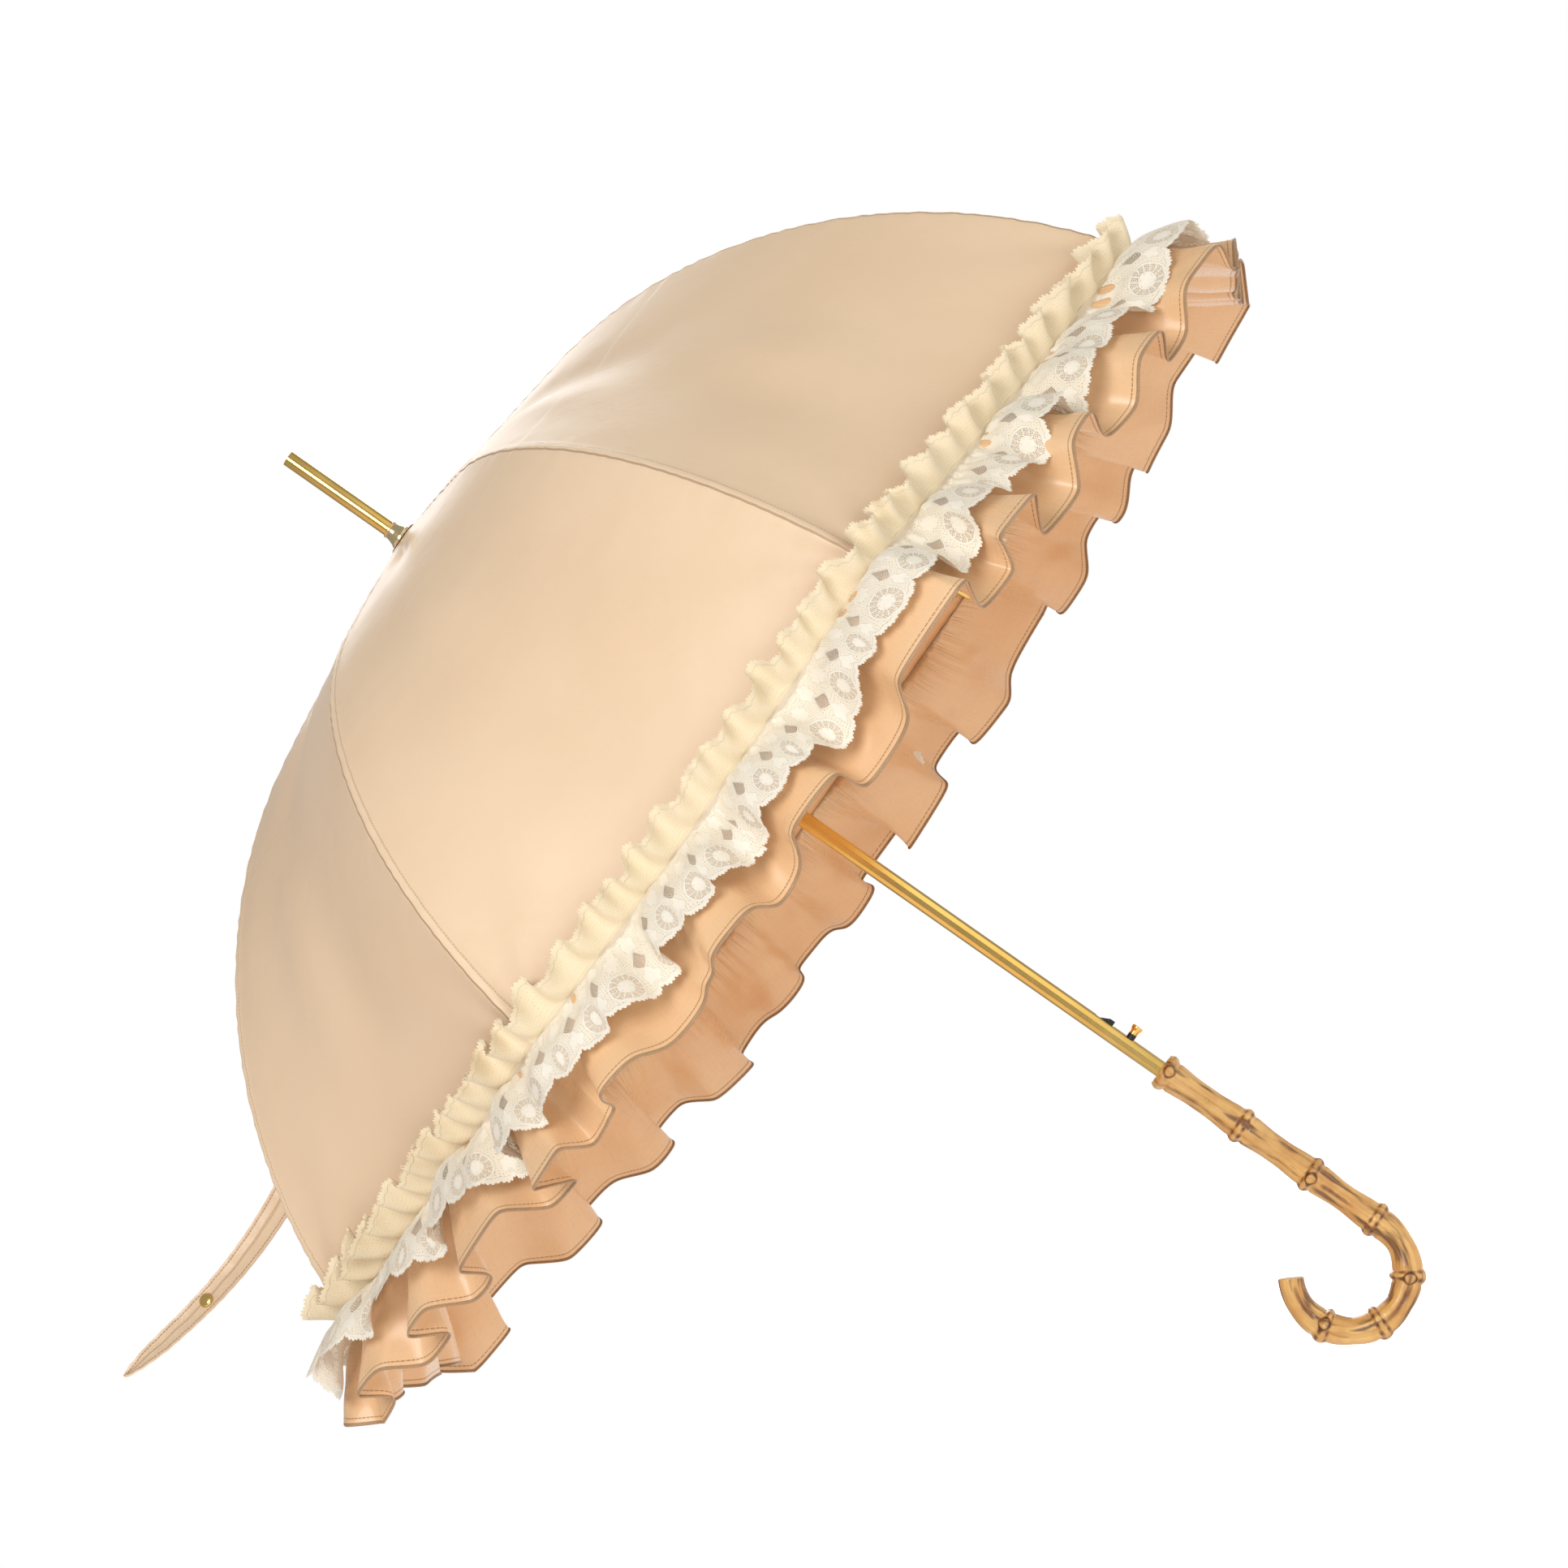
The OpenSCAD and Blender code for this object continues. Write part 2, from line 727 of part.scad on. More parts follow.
shaft_tube();
ferrule();
crown_cap();
crown_rosette();
top_notch();
notch_wire();
notch_pin();
opening_spring();
runner_sleeve();
runner_gallery();
runner_wire();
handle();
handle_pin();
release_pin();
release_strip();
catch();
button_stem();
button_cap();
canopy();
satin_ruffle();
lace_ruffle();
tie_strap();
snap_cap();
snap_socket();
inner_rib(0);  // inner_rib_1
inner_rib(1);  // inner_rib_2
inner_rib(2);  // inner_rib_3
inner_rib(3);  // inner_rib_4
inner_rib(4);  // inner_rib_5
inner_rib(5);  // inner_rib_6
inner_rib(6);  // inner_rib_7
inner_rib(7);  // inner_rib_8
outer_rib(0);  // outer_rib_1
outer_rib(1);  // outer_rib_2
outer_rib(2);  // outer_rib_3
outer_rib(3);  // outer_rib_4
outer_rib(4);  // outer_rib_5
outer_rib(5);  // outer_rib_6
outer_rib(6);  // outer_rib_7
outer_rib(7);  // outer_rib_8
rib_tip(0);  // rib_tip_1
rib_tip(1);  // rib_tip_2
rib_tip(2);  // rib_tip_3
rib_tip(3);  // rib_tip_4
rib_tip(4);  // rib_tip_5
rib_tip(5);  // rib_tip_6
rib_tip(6);  // rib_tip_7
rib_tip(7);  // rib_tip_8
stretcher(0);  // stretcher_1
stretcher(1);  // stretcher_2
stretcher(2);  // stretcher_3
stretcher(3);  // stretcher_4
stretcher(4);  // stretcher_5
stretcher(5);  // stretcher_6
stretcher(6);  // stretcher_7
stretcher(7);  // stretcher_8
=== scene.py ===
"""A lace parasol: the looks of its satin, lace, bamboo and metal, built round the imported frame."""

import math

import bmesh
import bpy
import numpy as np
from mathutils import Matrix, Vector


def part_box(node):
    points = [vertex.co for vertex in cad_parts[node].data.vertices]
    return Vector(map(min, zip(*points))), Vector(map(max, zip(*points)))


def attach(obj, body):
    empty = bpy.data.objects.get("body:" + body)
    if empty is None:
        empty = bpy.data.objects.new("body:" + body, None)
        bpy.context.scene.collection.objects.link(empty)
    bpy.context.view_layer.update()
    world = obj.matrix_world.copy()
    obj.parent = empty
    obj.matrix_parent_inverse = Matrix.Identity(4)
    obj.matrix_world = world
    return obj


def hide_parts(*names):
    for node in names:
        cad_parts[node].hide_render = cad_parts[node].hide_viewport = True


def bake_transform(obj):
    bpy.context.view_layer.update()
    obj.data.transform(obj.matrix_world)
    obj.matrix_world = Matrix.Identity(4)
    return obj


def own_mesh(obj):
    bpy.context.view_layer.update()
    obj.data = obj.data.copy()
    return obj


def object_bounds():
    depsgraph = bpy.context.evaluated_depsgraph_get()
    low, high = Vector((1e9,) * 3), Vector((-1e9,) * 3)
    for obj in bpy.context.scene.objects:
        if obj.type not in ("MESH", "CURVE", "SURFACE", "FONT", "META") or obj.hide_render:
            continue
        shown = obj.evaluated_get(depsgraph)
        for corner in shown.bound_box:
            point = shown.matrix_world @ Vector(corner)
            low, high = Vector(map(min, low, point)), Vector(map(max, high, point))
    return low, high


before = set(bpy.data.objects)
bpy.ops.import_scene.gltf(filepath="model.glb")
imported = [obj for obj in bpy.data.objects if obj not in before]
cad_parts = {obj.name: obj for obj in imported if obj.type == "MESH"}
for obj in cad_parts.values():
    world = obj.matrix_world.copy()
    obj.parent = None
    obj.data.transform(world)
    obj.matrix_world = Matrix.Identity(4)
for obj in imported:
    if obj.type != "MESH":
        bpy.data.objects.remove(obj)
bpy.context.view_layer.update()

# --- Driving dimensions, in metres and radians, as in the part's source ---

TURN = 2 * np.pi
RIBS = 8
GORE = TURN / RIBS
FIRST_RIB = math.radians(-71)
CROWN_H = 0.608
NOTCH_Z = CROWN_H - 0.006
WIRE_CIRCLE_R = 0.012
RIB_STRAIGHT, RIB_SHOULDER, RIB_OUTER = 0.160, 0.094, 0.315
JOINT_S = RIB_STRAIGHT + RIB_SHOULDER
TIP_S = JOINT_S + RIB_OUTER
SLOPES = np.radians([8.5, 10.5, 27, 75])
CLOTH_LIFT = 0.0046
GORE_SAG = 0.03
CLOTH_T, FRILL_SATIN_T, STRAP_T, ROSETTE_T = 0.0006, 0.0005, 0.0012, 0.0003
SATIN_W, SATIN_ROLL_R = 0.069, 0.0004
LACE_W, LACE_HEADER, LACE_EXTRA_FLARE = 0.051, 0.024, math.radians(8)
LACE_OVER_SATIN, RISE_MOST = 0.0020, 0.017
LACE_REPEAT, FRILL_LEAN = 0.042, math.radians(42)
FULLNESS, PAD = 1.75, 3
SATIN_COLUMNS, LACE_COLUMNS = 300, 400
GATHER_UP = 0.024
GRIP_LEN, BAMBOO_R, CROOK_R = 0.176, 0.0102, 0.038
CROOK_TURN = math.radians(230)
KNUCKLE_OUT = 0.0026
TUBE_R = float(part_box("shaft_tube")[1].x)
TUBE_FOOT = float(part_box("shaft_tube")[0].z)


# --- Curves of the frame ---


def bend_to(p, length, a, b):
    """The end of an arc of that length from p, whose slope below level goes from a to b: the slope's
    sine and cosine differences over the turn, times the length."""
    turn = np.where(np.abs(b - a) < 1e-9, 1e-9, b - a)
    return (
        p[0] + length * (np.sin(a + turn) - np.sin(a)) / turn,
        p[1] + length * (np.cos(a + turn) - np.cos(a)) / turn,
    )


def rib_slope(s):
    """Slope of a rib below level at the distance s along it: it changes evenly in each of three parts."""
    return np.interp(s, [0, RIB_STRAIGHT, JOINT_S, TIP_S], SLOPES)


def rib_point(s):
    """Radius and height of a rib's middle at s: three arcs laid end to end from the notch's wire."""
    s = np.asarray(s, float)
    start = (WIRE_CIRCLE_R, NOTCH_Z)
    shoulder = bend_to(start, RIB_STRAIGHT, SLOPES[0], SLOPES[1])
    joint = bend_to(shoulder, RIB_SHOULDER, SLOPES[1], SLOPES[2])
    slope = rib_slope(s)
    first = bend_to(start, s, SLOPES[0], slope)
    second = bend_to(shoulder, s - RIB_STRAIGHT, SLOPES[1], slope)
    third = bend_to(joint, s - JOINT_S, SLOPES[2], slope)
    pick = lambda k: np.where(s <= RIB_STRAIGHT, first[k], np.where(s <= JOINT_S, second[k], third[k]))
    return pick(0), pick(1)


CROWN_S = 0.024
CLOTH_START_R = float(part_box("ferrule")[1].x) + 0.0006


def cloth_point(s, lift=0.0):
    """Radius and height of the canopy over a rib: the rib's curve moved out along its normal, and from
    CROWN_S inwards a short curve that climbs to the ferrule."""
    r, z = rib_point(np.maximum(s, CROWN_S))
    slope = rib_slope(np.maximum(s, CROWN_S))
    r, z = r + CLOTH_LIFT * np.sin(slope), z + CLOTH_LIFT * np.cos(slope)
    k = np.clip(s / CROWN_S, 0, 1)
    r = CLOTH_START_R + (r - CLOTH_START_R) * k
    z = CROWN_H + (z - CROWN_H) * k**1.35
    return r + lift * np.sin(slope), z + lift * np.cos(slope)


def gore_share(turn):
    """Radius between two ribs as a share of the ribs' own: a straight line from rib to rib, which sags
    most in the gore's middle. turn is the angle from the nearest rib."""
    near = np.abs(turn)
    middle = 1 - near / (GORE / 2)
    return np.cos(GORE / 2) / np.cos(GORE / 2 - near) - GORE_SAG * (1 - middle**2)


def from_nearest_rib(angle):
    """The angle from the nearest rib, from minus to plus half a gore."""
    return (angle - FIRST_RIB + GORE / 2) % GORE - GORE / 2


def rib_angle(i):
    return FIRST_RIB + GORE * i


def smooth_step(x, a, b):
    """0 below a, 1 above b, and an even S curve between."""
    t = np.clip((x - a) / (b - a), 0, 1)
    return t * t * (3 - 2 * t)


def waver(angle, terms):
    """A slow unevenness round the parasol: a sum of sines, each (amount, times round, phase)."""
    return sum(amount * np.sin(times * angle + phase) for amount, times, phase in terms)


# --- From grids of points to pieces ---


def unit(v):
    return v / np.maximum(np.linalg.norm(v, axis=-1, keepdims=True), 1e-12)


def grid_faces(rows, cols, closed_cols=False):
    """Four-sided faces between neighbouring rows and columns, with the last column joined to the first
    where the surface closes on itself."""
    i, j = np.meshgrid(np.arange(rows - 1), np.arange(cols if closed_cols else cols - 1), indexing="ij")
    i2, j2 = i + 1, (j + 1) % cols
    return np.stack([i * cols + j, i * cols + j2, i2 * cols + j2, i2 * cols + j], -1).reshape(-1, 4)


def placed(name, data):
    """An object in the scene that holds a mesh, light or lens."""
    thing = bpy.data.objects.new(name, data)
    bpy.context.scene.collection.objects.link(thing)
    return thing


def finish_mesh(name, points, faces, materials, uv, marks, sharp):
    """A piece from points, faces and what is stored at the points: cloth lengths and named numbers."""
    mesh = bpy.data.meshes.new(name)
    mesh.from_pydata(points.reshape(-1, 3), [], faces)
    if uv is not None:
        layer = mesh.uv_layers.new(name="cloth")
        layer.data.foreach_set("uv", uv.reshape(-1, 2)[faces.ravel()].astype(np.float32).ravel())
    for mark, values in (marks or {}).items():
        attribute = mesh.attributes.new(mark, "FLOAT", "POINT")
        attribute.data.foreach_set("value", np.ascontiguousarray(values, np.float32).ravel())
    mesh.polygons.foreach_set("use_smooth", np.ones(len(mesh.polygons), bool))
    for material in materials:
        mesh.materials.append(material)
    if sharp is not None:
        mesh.set_sharp_from_angle(angle=sharp)
    mesh.update()
    return placed(name, mesh)


def surface(name, points, material, uv=None, marks=None, closed_cols=False, weld=False, sharp=None):
    """A piece from rows and columns of points, whose front is where rows cross columns. weld closes
    seams and poles, and sharp is the angle past which an edge is crisp."""
    faces = grid_faces(*points.shape[:2], closed_cols)[:, ::-1]
    piece = finish_mesh(name, points, faces, [material], uv, marks, sharp)
    if weld:
        work = bmesh.new()
        work.from_mesh(piece.data)
        bmesh.ops.remove_doubles(work, verts=work.verts, dist=1e-7)
        bmesh.ops.recalc_face_normals(work, faces=work.faces)
        work.to_mesh(piece.data)
        work.free()
        if sharp is not None:
            piece.data.set_sharp_from_angle(angle=sharp)
    return piece


def fronts(points):
    """The way each point of a grid faces: its step down the rows crossed with its step along them."""
    return unit(np.cross(np.gradient(points, axis=0), np.gradient(points, axis=1)))


def cloth(name, points, thickness, outside, inside, uv, marks=None, pad=0):
    """A sheet of real thickness: its points moved half of it each way along their own normals, and the
    two faces joined round the rim. The outermost pad columns only steady the normals and are cut off."""
    half = fronts(points) * thickness / 2
    kept = slice(pad, points.shape[1] - pad)
    points, half, uv = points[:, kept], half[:, kept], uv[:, kept]
    marks = {mark: values[:, kept] for mark, values in (marks or {}).items()}
    rows, cols = points.shape[:2]
    count = rows * cols
    index = np.arange(count).reshape(rows, cols)
    rim = np.concatenate([index[0, :-1], index[:-1, -1], index[-1, :0:-1], index[:0:-1, 0]])
    following = np.roll(rim, -1)
    grid = grid_faces(rows, cols)
    walls = np.stack([rim, following, following + count, rim + count], -1)
    faces = np.concatenate([grid[:, ::-1], grid + count, walls])
    both = lambda values: np.concatenate([values, values])
    marks = {mark: both(values) for mark, values in marks.items()}
    points_of_both = np.concatenate([points + half, points - half])
    piece = finish_mesh(
        name, points_of_both, faces, [outside, inside], both(uv), marks, math.radians(65)
    )
    sides = np.zeros(len(faces), np.int32)
    sides[len(grid): 2 * len(grid)] = 1
    piece.data.polygons.foreach_set("material_index", sides)
    return piece, points


def turned(radius, height, angle):
    """Points from radius, height and angle about the tube."""
    return np.stack(np.broadcast_arrays(radius * np.cos(angle), radius * np.sin(angle), height), -1)


# --- Shader arithmetic ---


def feed(tree, slot, value):
    """Links a socket to a varying number or colour, or sets it to a plain one."""
    if isinstance(value, Number):
        value = value.socket
    if isinstance(value, bpy.types.NodeSocket):
        tree.links.new(value, slot)
    else:
        slot.default_value = (*value, 1.0) if slot.type == "RGBA" else value


def add_node(tree, kind, **inputs):
    """A shader node whose named inputs are fed."""
    node = tree.nodes.new("ShaderNode" + kind)
    for socket, value in inputs.items():
        feed(tree, node.inputs[socket.replace("_", " ")], value)
    return node


def operation(kind):
    """A method that lays down one kind of Math node."""
    return lambda self, *others: self.math(kind, *others)


class Number:
    """A number that varies over a surface; arithmetic on it lays down Math nodes."""

    def __init__(self, tree, socket):
        self.tree, self.socket = tree, socket

    def math(self, kind, *others):
        node = self.tree.nodes.new("ShaderNodeMath")
        node.operation = kind
        for slot, value in zip(node.inputs, (self, *others)):
            feed(self.tree, slot, value)
        return Number(self.tree, node.outputs[0])

    __add__, __sub__ = operation("ADD"), operation("SUBTRACT")
    __mul__, __truediv__ = operation("MULTIPLY"), operation("DIVIDE")
    least, most = operation("MINIMUM"), operation("MAXIMUM")
    size, cosine = operation("ABSOLUTE"), operation("COSINE")

    def flipped(self):
        """1 minus it."""
        return (self * -1.0) + 1.0

    def ramp(self, a, b):
        """0 at a and 1 at b, smoothly, and level outside."""
        node = add_node(self.tree, "MapRange", Value=self, From_Min=min(a, b), From_Max=max(a, b),
                        To_Min=float(a >= b), To_Max=float(a < b))
        node.interpolation_type = "SMOOTHSTEP"
        return Number(self.tree, node.outputs[0])

    def band(self, middle, half, edge):
        """1 within half of middle, falling to 0 over edge."""
        return (self - middle).size().ramp(half + edge, half)

    def around(self, pitch):
        """The distance from the nearest multiple of pitch, from minus to plus half of it."""
        return (self / pitch + 0.5).math("FRACT") * pitch - pitch / 2


class Finish:
    """A material under construction: its nodes, its shader and the patterns that feed it."""

    def __init__(self, name, **values):
        self.material = bpy.data.materials.new(name)
        self.material.use_nodes = True
        self.tree = self.material.node_tree
        self.shader = self.tree.nodes["Principled BSDF"]
        self.place = self.tree.nodes.new("ShaderNodeTexCoord")
        for socket, value in values.items():
            self.set(socket.replace("_", " "), value)

    def set(self, socket, value):
        feed(self.tree, self.shader.inputs[socket], value)

    def stretched(self, space, scale=(1, 1, 1)):
        """Coordinates in object space or along the cloth, stretched by a scale."""
        return add_node(self.tree, "Mapping", Vector=self.place.outputs[space], Scale=scale).outputs[0]

    def noise(self, scale, space="Object", stretch=(1, 1, 1), detail=2.0):
        node = add_node(self.tree, "TexNoise", Vector=self.stretched(space, stretch), Scale=scale,
                        Detail=detail, Roughness=0.5)
        return Number(self.tree, node.outputs["Fac"])

    def cells(self, pitch, loose):
        """The distance from the nearest thread in a net of uneven cells along the cloth."""
        node = add_node(self.tree, "TexVoronoi", Vector=self.stretched("UV"), Scale=1 / pitch,
                        Randomness=loose)
        node.feature, node.voronoi_dimensions = "DISTANCE_TO_EDGE", "2D"
        return Number(self.tree, node.outputs["Distance"])

    def along(self):
        """The coordinates along the cloth as separate numbers."""
        node = add_node(self.tree, "SeparateXYZ", Vector=self.place.outputs["UV"])
        return [Number(self.tree, out) for out in node.outputs]

    def mark(self, name):
        """A number stored at the mesh's points."""
        node = self.tree.nodes.new("ShaderNodeAttribute")
        node.attribute_name = name
        return Number(self.tree, node.outputs["Fac"])

    def mix(self, share, a, b):
        """Colour a where share is 0 and colour b where it is 1."""
        node = self.tree.nodes.new("ShaderNodeMix")
        node.data_type = "RGBA"
        for slot, value in ((0, share), (6, a), (7, b)):
            feed(self.tree, node.inputs[slot], value)
        return node.outputs[2]

    def coats(self, colour, *coats):
        """Coats laid over a colour in turn, each (share, colour)."""
        for share, tone in coats:
            colour = self.mix(share, colour, tone)
        return colour

    def relief(self, height, depth):
        """Bumps of that depth in metres for a height of 1."""
        self.set("Normal", add_node(self.tree, "Bump", Distance=depth, Strength=1.0, Height=height).outputs[0])


# --- Finishes ---


def satin_weave(finish):
    """Long floats of thread one way, crossed by finer ones, with a slub here and there."""
    threads = finish.noise(1.0, "UV", (1500, 70, 1), 1.0)
    slubs = finish.noise(1.0, "UV", (60, 900, 1), 2.0)
    creases = finish.noise(26.0, detail=3.0)
    return threads * 0.30 + slubs * 0.25, creases


def satin_finish(name, light, deep, seams=None, roughness=0.42):
    """Champagne satin: a weave, soft creases, a deeper tone in patches and darker sewn lines."""
    finish = Finish(name, Specular_IOR_Level=0.45, Sheen_Weight=0.22, Sheen_Roughness=0.35,
                    Sheen_Tint=(1.0, 0.86, 0.72), Subsurface_Weight=0.0)
    weave, creases = satin_weave(finish)
    patches = finish.noise(7.0, detail=2.0).ramp(0.3, 0.72)
    colour = finish.mix(patches * 0.5 + weave * 0.35, light, deep)
    height = weave * 0.5 + creases.ramp(0.3, 0.7) * 1.2
    if seams is not None:
        colour, height = seams(finish, colour, height)
    finish.set("Base Color", colour)
    finish.set("Roughness", weave * 0.22 + (roughness - 0.08))
    finish.relief(height, 0.00028)
    return finish.material


def rib_seams(finish, colour, height):
    """A needle-thin dark line on the rib, a lighter flat-felled band beside it, stitches on the band's
    far edge, and the dark line where the ruffles are gathered on."""
    across, along, _ = finish.along()
    line = across.band(0.0, 0.00035, 0.0005)
    band = across.band(0.0030, 0.0025, 0.0006)
    stitch = across.band(0.0051, 0.00022, 0.0003) * along.around(0.0026).size().ramp(0.0011, 0.0008)
    hem = along.ramp(TIP_S - 0.004, TIP_S)
    colour = finish.coats(colour, (band * 0.25, (0.90, 0.71, 0.50)),
                          ((line * 0.6 + stitch * 0.35).least(1.0), (0.36, 0.19, 0.085)),
                          (hem * 0.5, (0.50, 0.29, 0.13)))
    return colour, height - line * 1.6 + band * 0.5 - stitch * 0.9


def ruffle_hem(finish, colour, height):
    """A brown overlocked edge with slanting threads, a stitch line 4 mm in, a dark gathered line, and pleats
    near it darkened with painted shade.
    """
    along, across, _ = finish.along()
    edge = finish.mark("from_edge")
    lock = edge.ramp(0.0017, 0.0012)
    thread = (along + edge * 0.6).around(0.0011).size().ramp(0.0004, 0.0001)
    stitch = edge.band(0.0042, 0.00022, 0.0003) * along.around(0.0028).size().ramp(0.0012, 0.0009)
    gather = across.ramp(0.0035, 0.0005)
    # Pleats near the gathered line: raised by the bump, and their darker orange is painted shade in the folds.
    pleats = finish.noise(1.0, "UV", (330, 14, 1), 2.0).ramp(0.35, 0.65) * across.ramp(0.030, 0.002)
    colour = finish.coats(colour, (gather * 0.7, (0.34, 0.18, 0.08)), (pleats * 0.25, (0.62, 0.36, 0.18)),
                          (stitch * 0.8, (0.40, 0.20, 0.08)), (lock * 0.8, (0.42, 0.23, 0.11)),
                          (lock * thread * 0.5, (0.70, 0.48, 0.29)))
    return colour, height - stitch * 0.8 + lock * thread * 2.0 + pleats * 2.4


def strap_stitching(finish, colour, height):
    """A stitch line 2 mm in from each edge and a soft fold down the middle, darkened with painted shade."""
    across, along, _ = finish.along()
    edge = finish.mark("from_edge")
    stitch = edge.band(0.0021, 0.00022, 0.0003) * along.around(0.0026).size().ramp(0.0011, 0.0008)
    # The fold is sunk by the bump, and its darker tone is painted shade in the crease.
    fold = across.band(0.001, 0.0003, 0.0008)
    colour = finish.coats(colour, (stitch * 0.7, (0.38, 0.20, 0.09)), (fold * 0.35, (0.44, 0.25, 0.12)))
    return colour, height - stitch * 0.9 - fold * 1.4


def flower(x, y, radius, petals, spin=0.0):
    """A flower in the lace: 1 inside its petals, its outline, and the net left open in each petal.
    The petals' edge is the radius times a rounded wave of the angle."""
    far = (x * x + y * y).math("SQRT")
    angle = y.math("ARCTAN2", x) + spin
    wave = (angle * (petals / 2)).cosine().size()
    edge = (wave * 0.30 + 0.70) * radius
    inside = (edge - far).ramp(-0.0001, 0.0001)
    outline = (edge - far).band(0.0, 0.00055, 0.0003)
    ring = far.band(radius * 0.26, 0.0004, 0.0003)
    netted = (far - radius * 0.34).ramp(0.0, 0.0002) * (edge * 0.78 - far).ramp(0.0, 0.0003)
    netted = netted * (wave - 0.45).ramp(0.0, 0.15)
    return inside, outline.most(ring), netted


def lace_finish():
    """Cream lace: a close floral cloth with pinholes, flowers outlined with cord, a ring of fine mesh
    crossed by spokes in each scallop and a diamond of open net between two scallops."""
    finish = Finish("cream_lace", Specular_IOR_Level=0.3, Sheen_Weight=0.25, Sheen_Roughness=0.5,
                    Sheen_Tint=(1.0, 0.97, 0.9))
    along, across, _ = finish.along()
    edge = finish.mark("from_edge")
    x = along.around(LACE_REPEAT)
    x_mid = (along + LACE_REPEAT / 2).around(LACE_REPEAT)
    y = across - (LACE_W - 0.0145)
    far = (x_mid * x_mid + y * y).math("SQRT")
    ring = far.band(0.0080, 0.0025, 0.0003)
    ring_cord = far.band(0.0113, 0.0006, 0.0003).most(far.band(0.0052, 0.0004, 0.0003))
    spokes = y.math("ARCTAN2", x_mid).around(TURN / 14).size().ramp(0.07, 0.04)
    rose, rose_cord, _ = flower(x_mid, y, 0.0048, 6)
    bud, bud_cord, _ = flower(x, across - 0.0085, 0.0066, 5, 0.5)
    spray, spray_cord, _ = flower(x_mid, across - 0.0135, 0.0078, 8, 0.2)
    tip, tip_cord, _ = flower(x, across - 0.0385, 0.0058, 5, 0.1)
    diamond_far = x.size() / 0.0066 + (across - 0.0245).size() / 0.0082
    diamond = diamond_far.ramp(1.0, 0.95)
    diamond_cord = diamond_far.band(1.08, 0.07, 0.04)
    solid = rose.most(bud).most(spray).most(tip)
    cord = rose_cord.most(bud_cord).most(spray_cord).most(tip_cord).most(ring_cord).most(diamond_cord)
    border = edge.ramp(0.0038, 0.0033)
    cord = cord.most(edge.band(0.0036, 0.0004, 0.0003)).most(across.band(0.0, 0.0012, 0.0006))
    frill = across.ramp(0.0, -0.0008)
    pinholes = finish.cells(0.0021, loose=0.35).ramp(0.36, 0.43) * 0.6 * solid.flipped()
    mesh = finish.cells(0.00115, loose=0.15).ramp(0.12, 0.26) * 0.75
    net = (along + across).around(0.0019).size().least((along - across).around(0.0019).size())
    net = net.ramp(0.0002, 0.00034)
    holes = pinholes.most(mesh * ring * spokes.flipped()).most(net * diamond)
    holes = holes * cord.flipped() * border.flipped() * (frill * 0.6).flipped()
    picots = along.around(0.0023).size()
    holes = holes.most(edge.ramp(0.0010, 0.0008) * picots.ramp(0.0005, 0.0008))
    threads = finish.noise(1.0, "UV", (1500, 420, 1), 2.0)
    thick = solid.most(cord).most(border * 0.6)
    relief = thick * 0.8 + threads * 0.4 + finish.noise(420.0, "UV") * 0.25
    finish.set("Base Color", finish.coats(
        (0.88, 0.81, 0.68), (thick * 0.6, (0.95, 0.91, 0.83)),
        (threads.ramp(0.35, 0.75) * 0.25, (0.78, 0.67, 0.50)),
        (across.band(0.0, 0.0010, 0.0012) * 0.45, (0.50, 0.34, 0.17)),
        (frill * 0.7, (0.86, 0.72, 0.48)),
    ))
    finish.set("Roughness", threads * 0.2 + 0.5)
    finish.set("Alpha", holes.flipped())
    finish.relief(relief, 0.0004)
    return finish.material


def metal_finish(name, colour, worn, roughness):
    """Polished metal: a faint colour drift, fine drawn lines and a duller bloom here and there."""
    finish = Finish(name, Metallic=1.0)
    drift = finish.noise(38.0, detail=3.0).ramp(0.3, 0.7)
    lines = finish.noise(1.0, "Object", (900, 900, 8), 1.0)
    bloom = finish.noise(120.0, detail=4.0).ramp(0.45, 0.8)
    finish.set("Base Color", finish.mix(drift * 0.6 + bloom * 0.3, colour, worn))
    finish.set("Roughness", lines * 0.03 + bloom * 0.06 + roughness)
    finish.relief(bloom, 0.0000008)
    return finish.material


def lacquer_finish():
    """Black moulded plastic, slightly mottled and rubbed."""
    finish = Finish("black_moulding", Specular_IOR_Level=0.5)
    mottle = finish.noise(600.0, detail=3.0)
    rubbed = finish.noise(70.0, detail=3.0).ramp(0.55, 0.8)
    finish.set("Base Color", finish.mix(rubbed * 0.5, (0.012, 0.011, 0.010), (0.045, 0.042, 0.038)))
    finish.set("Roughness", mottle * 0.15 + rubbed * 0.15 + 0.25)
    finish.relief(mottle, 0.00003)
    return finish.material


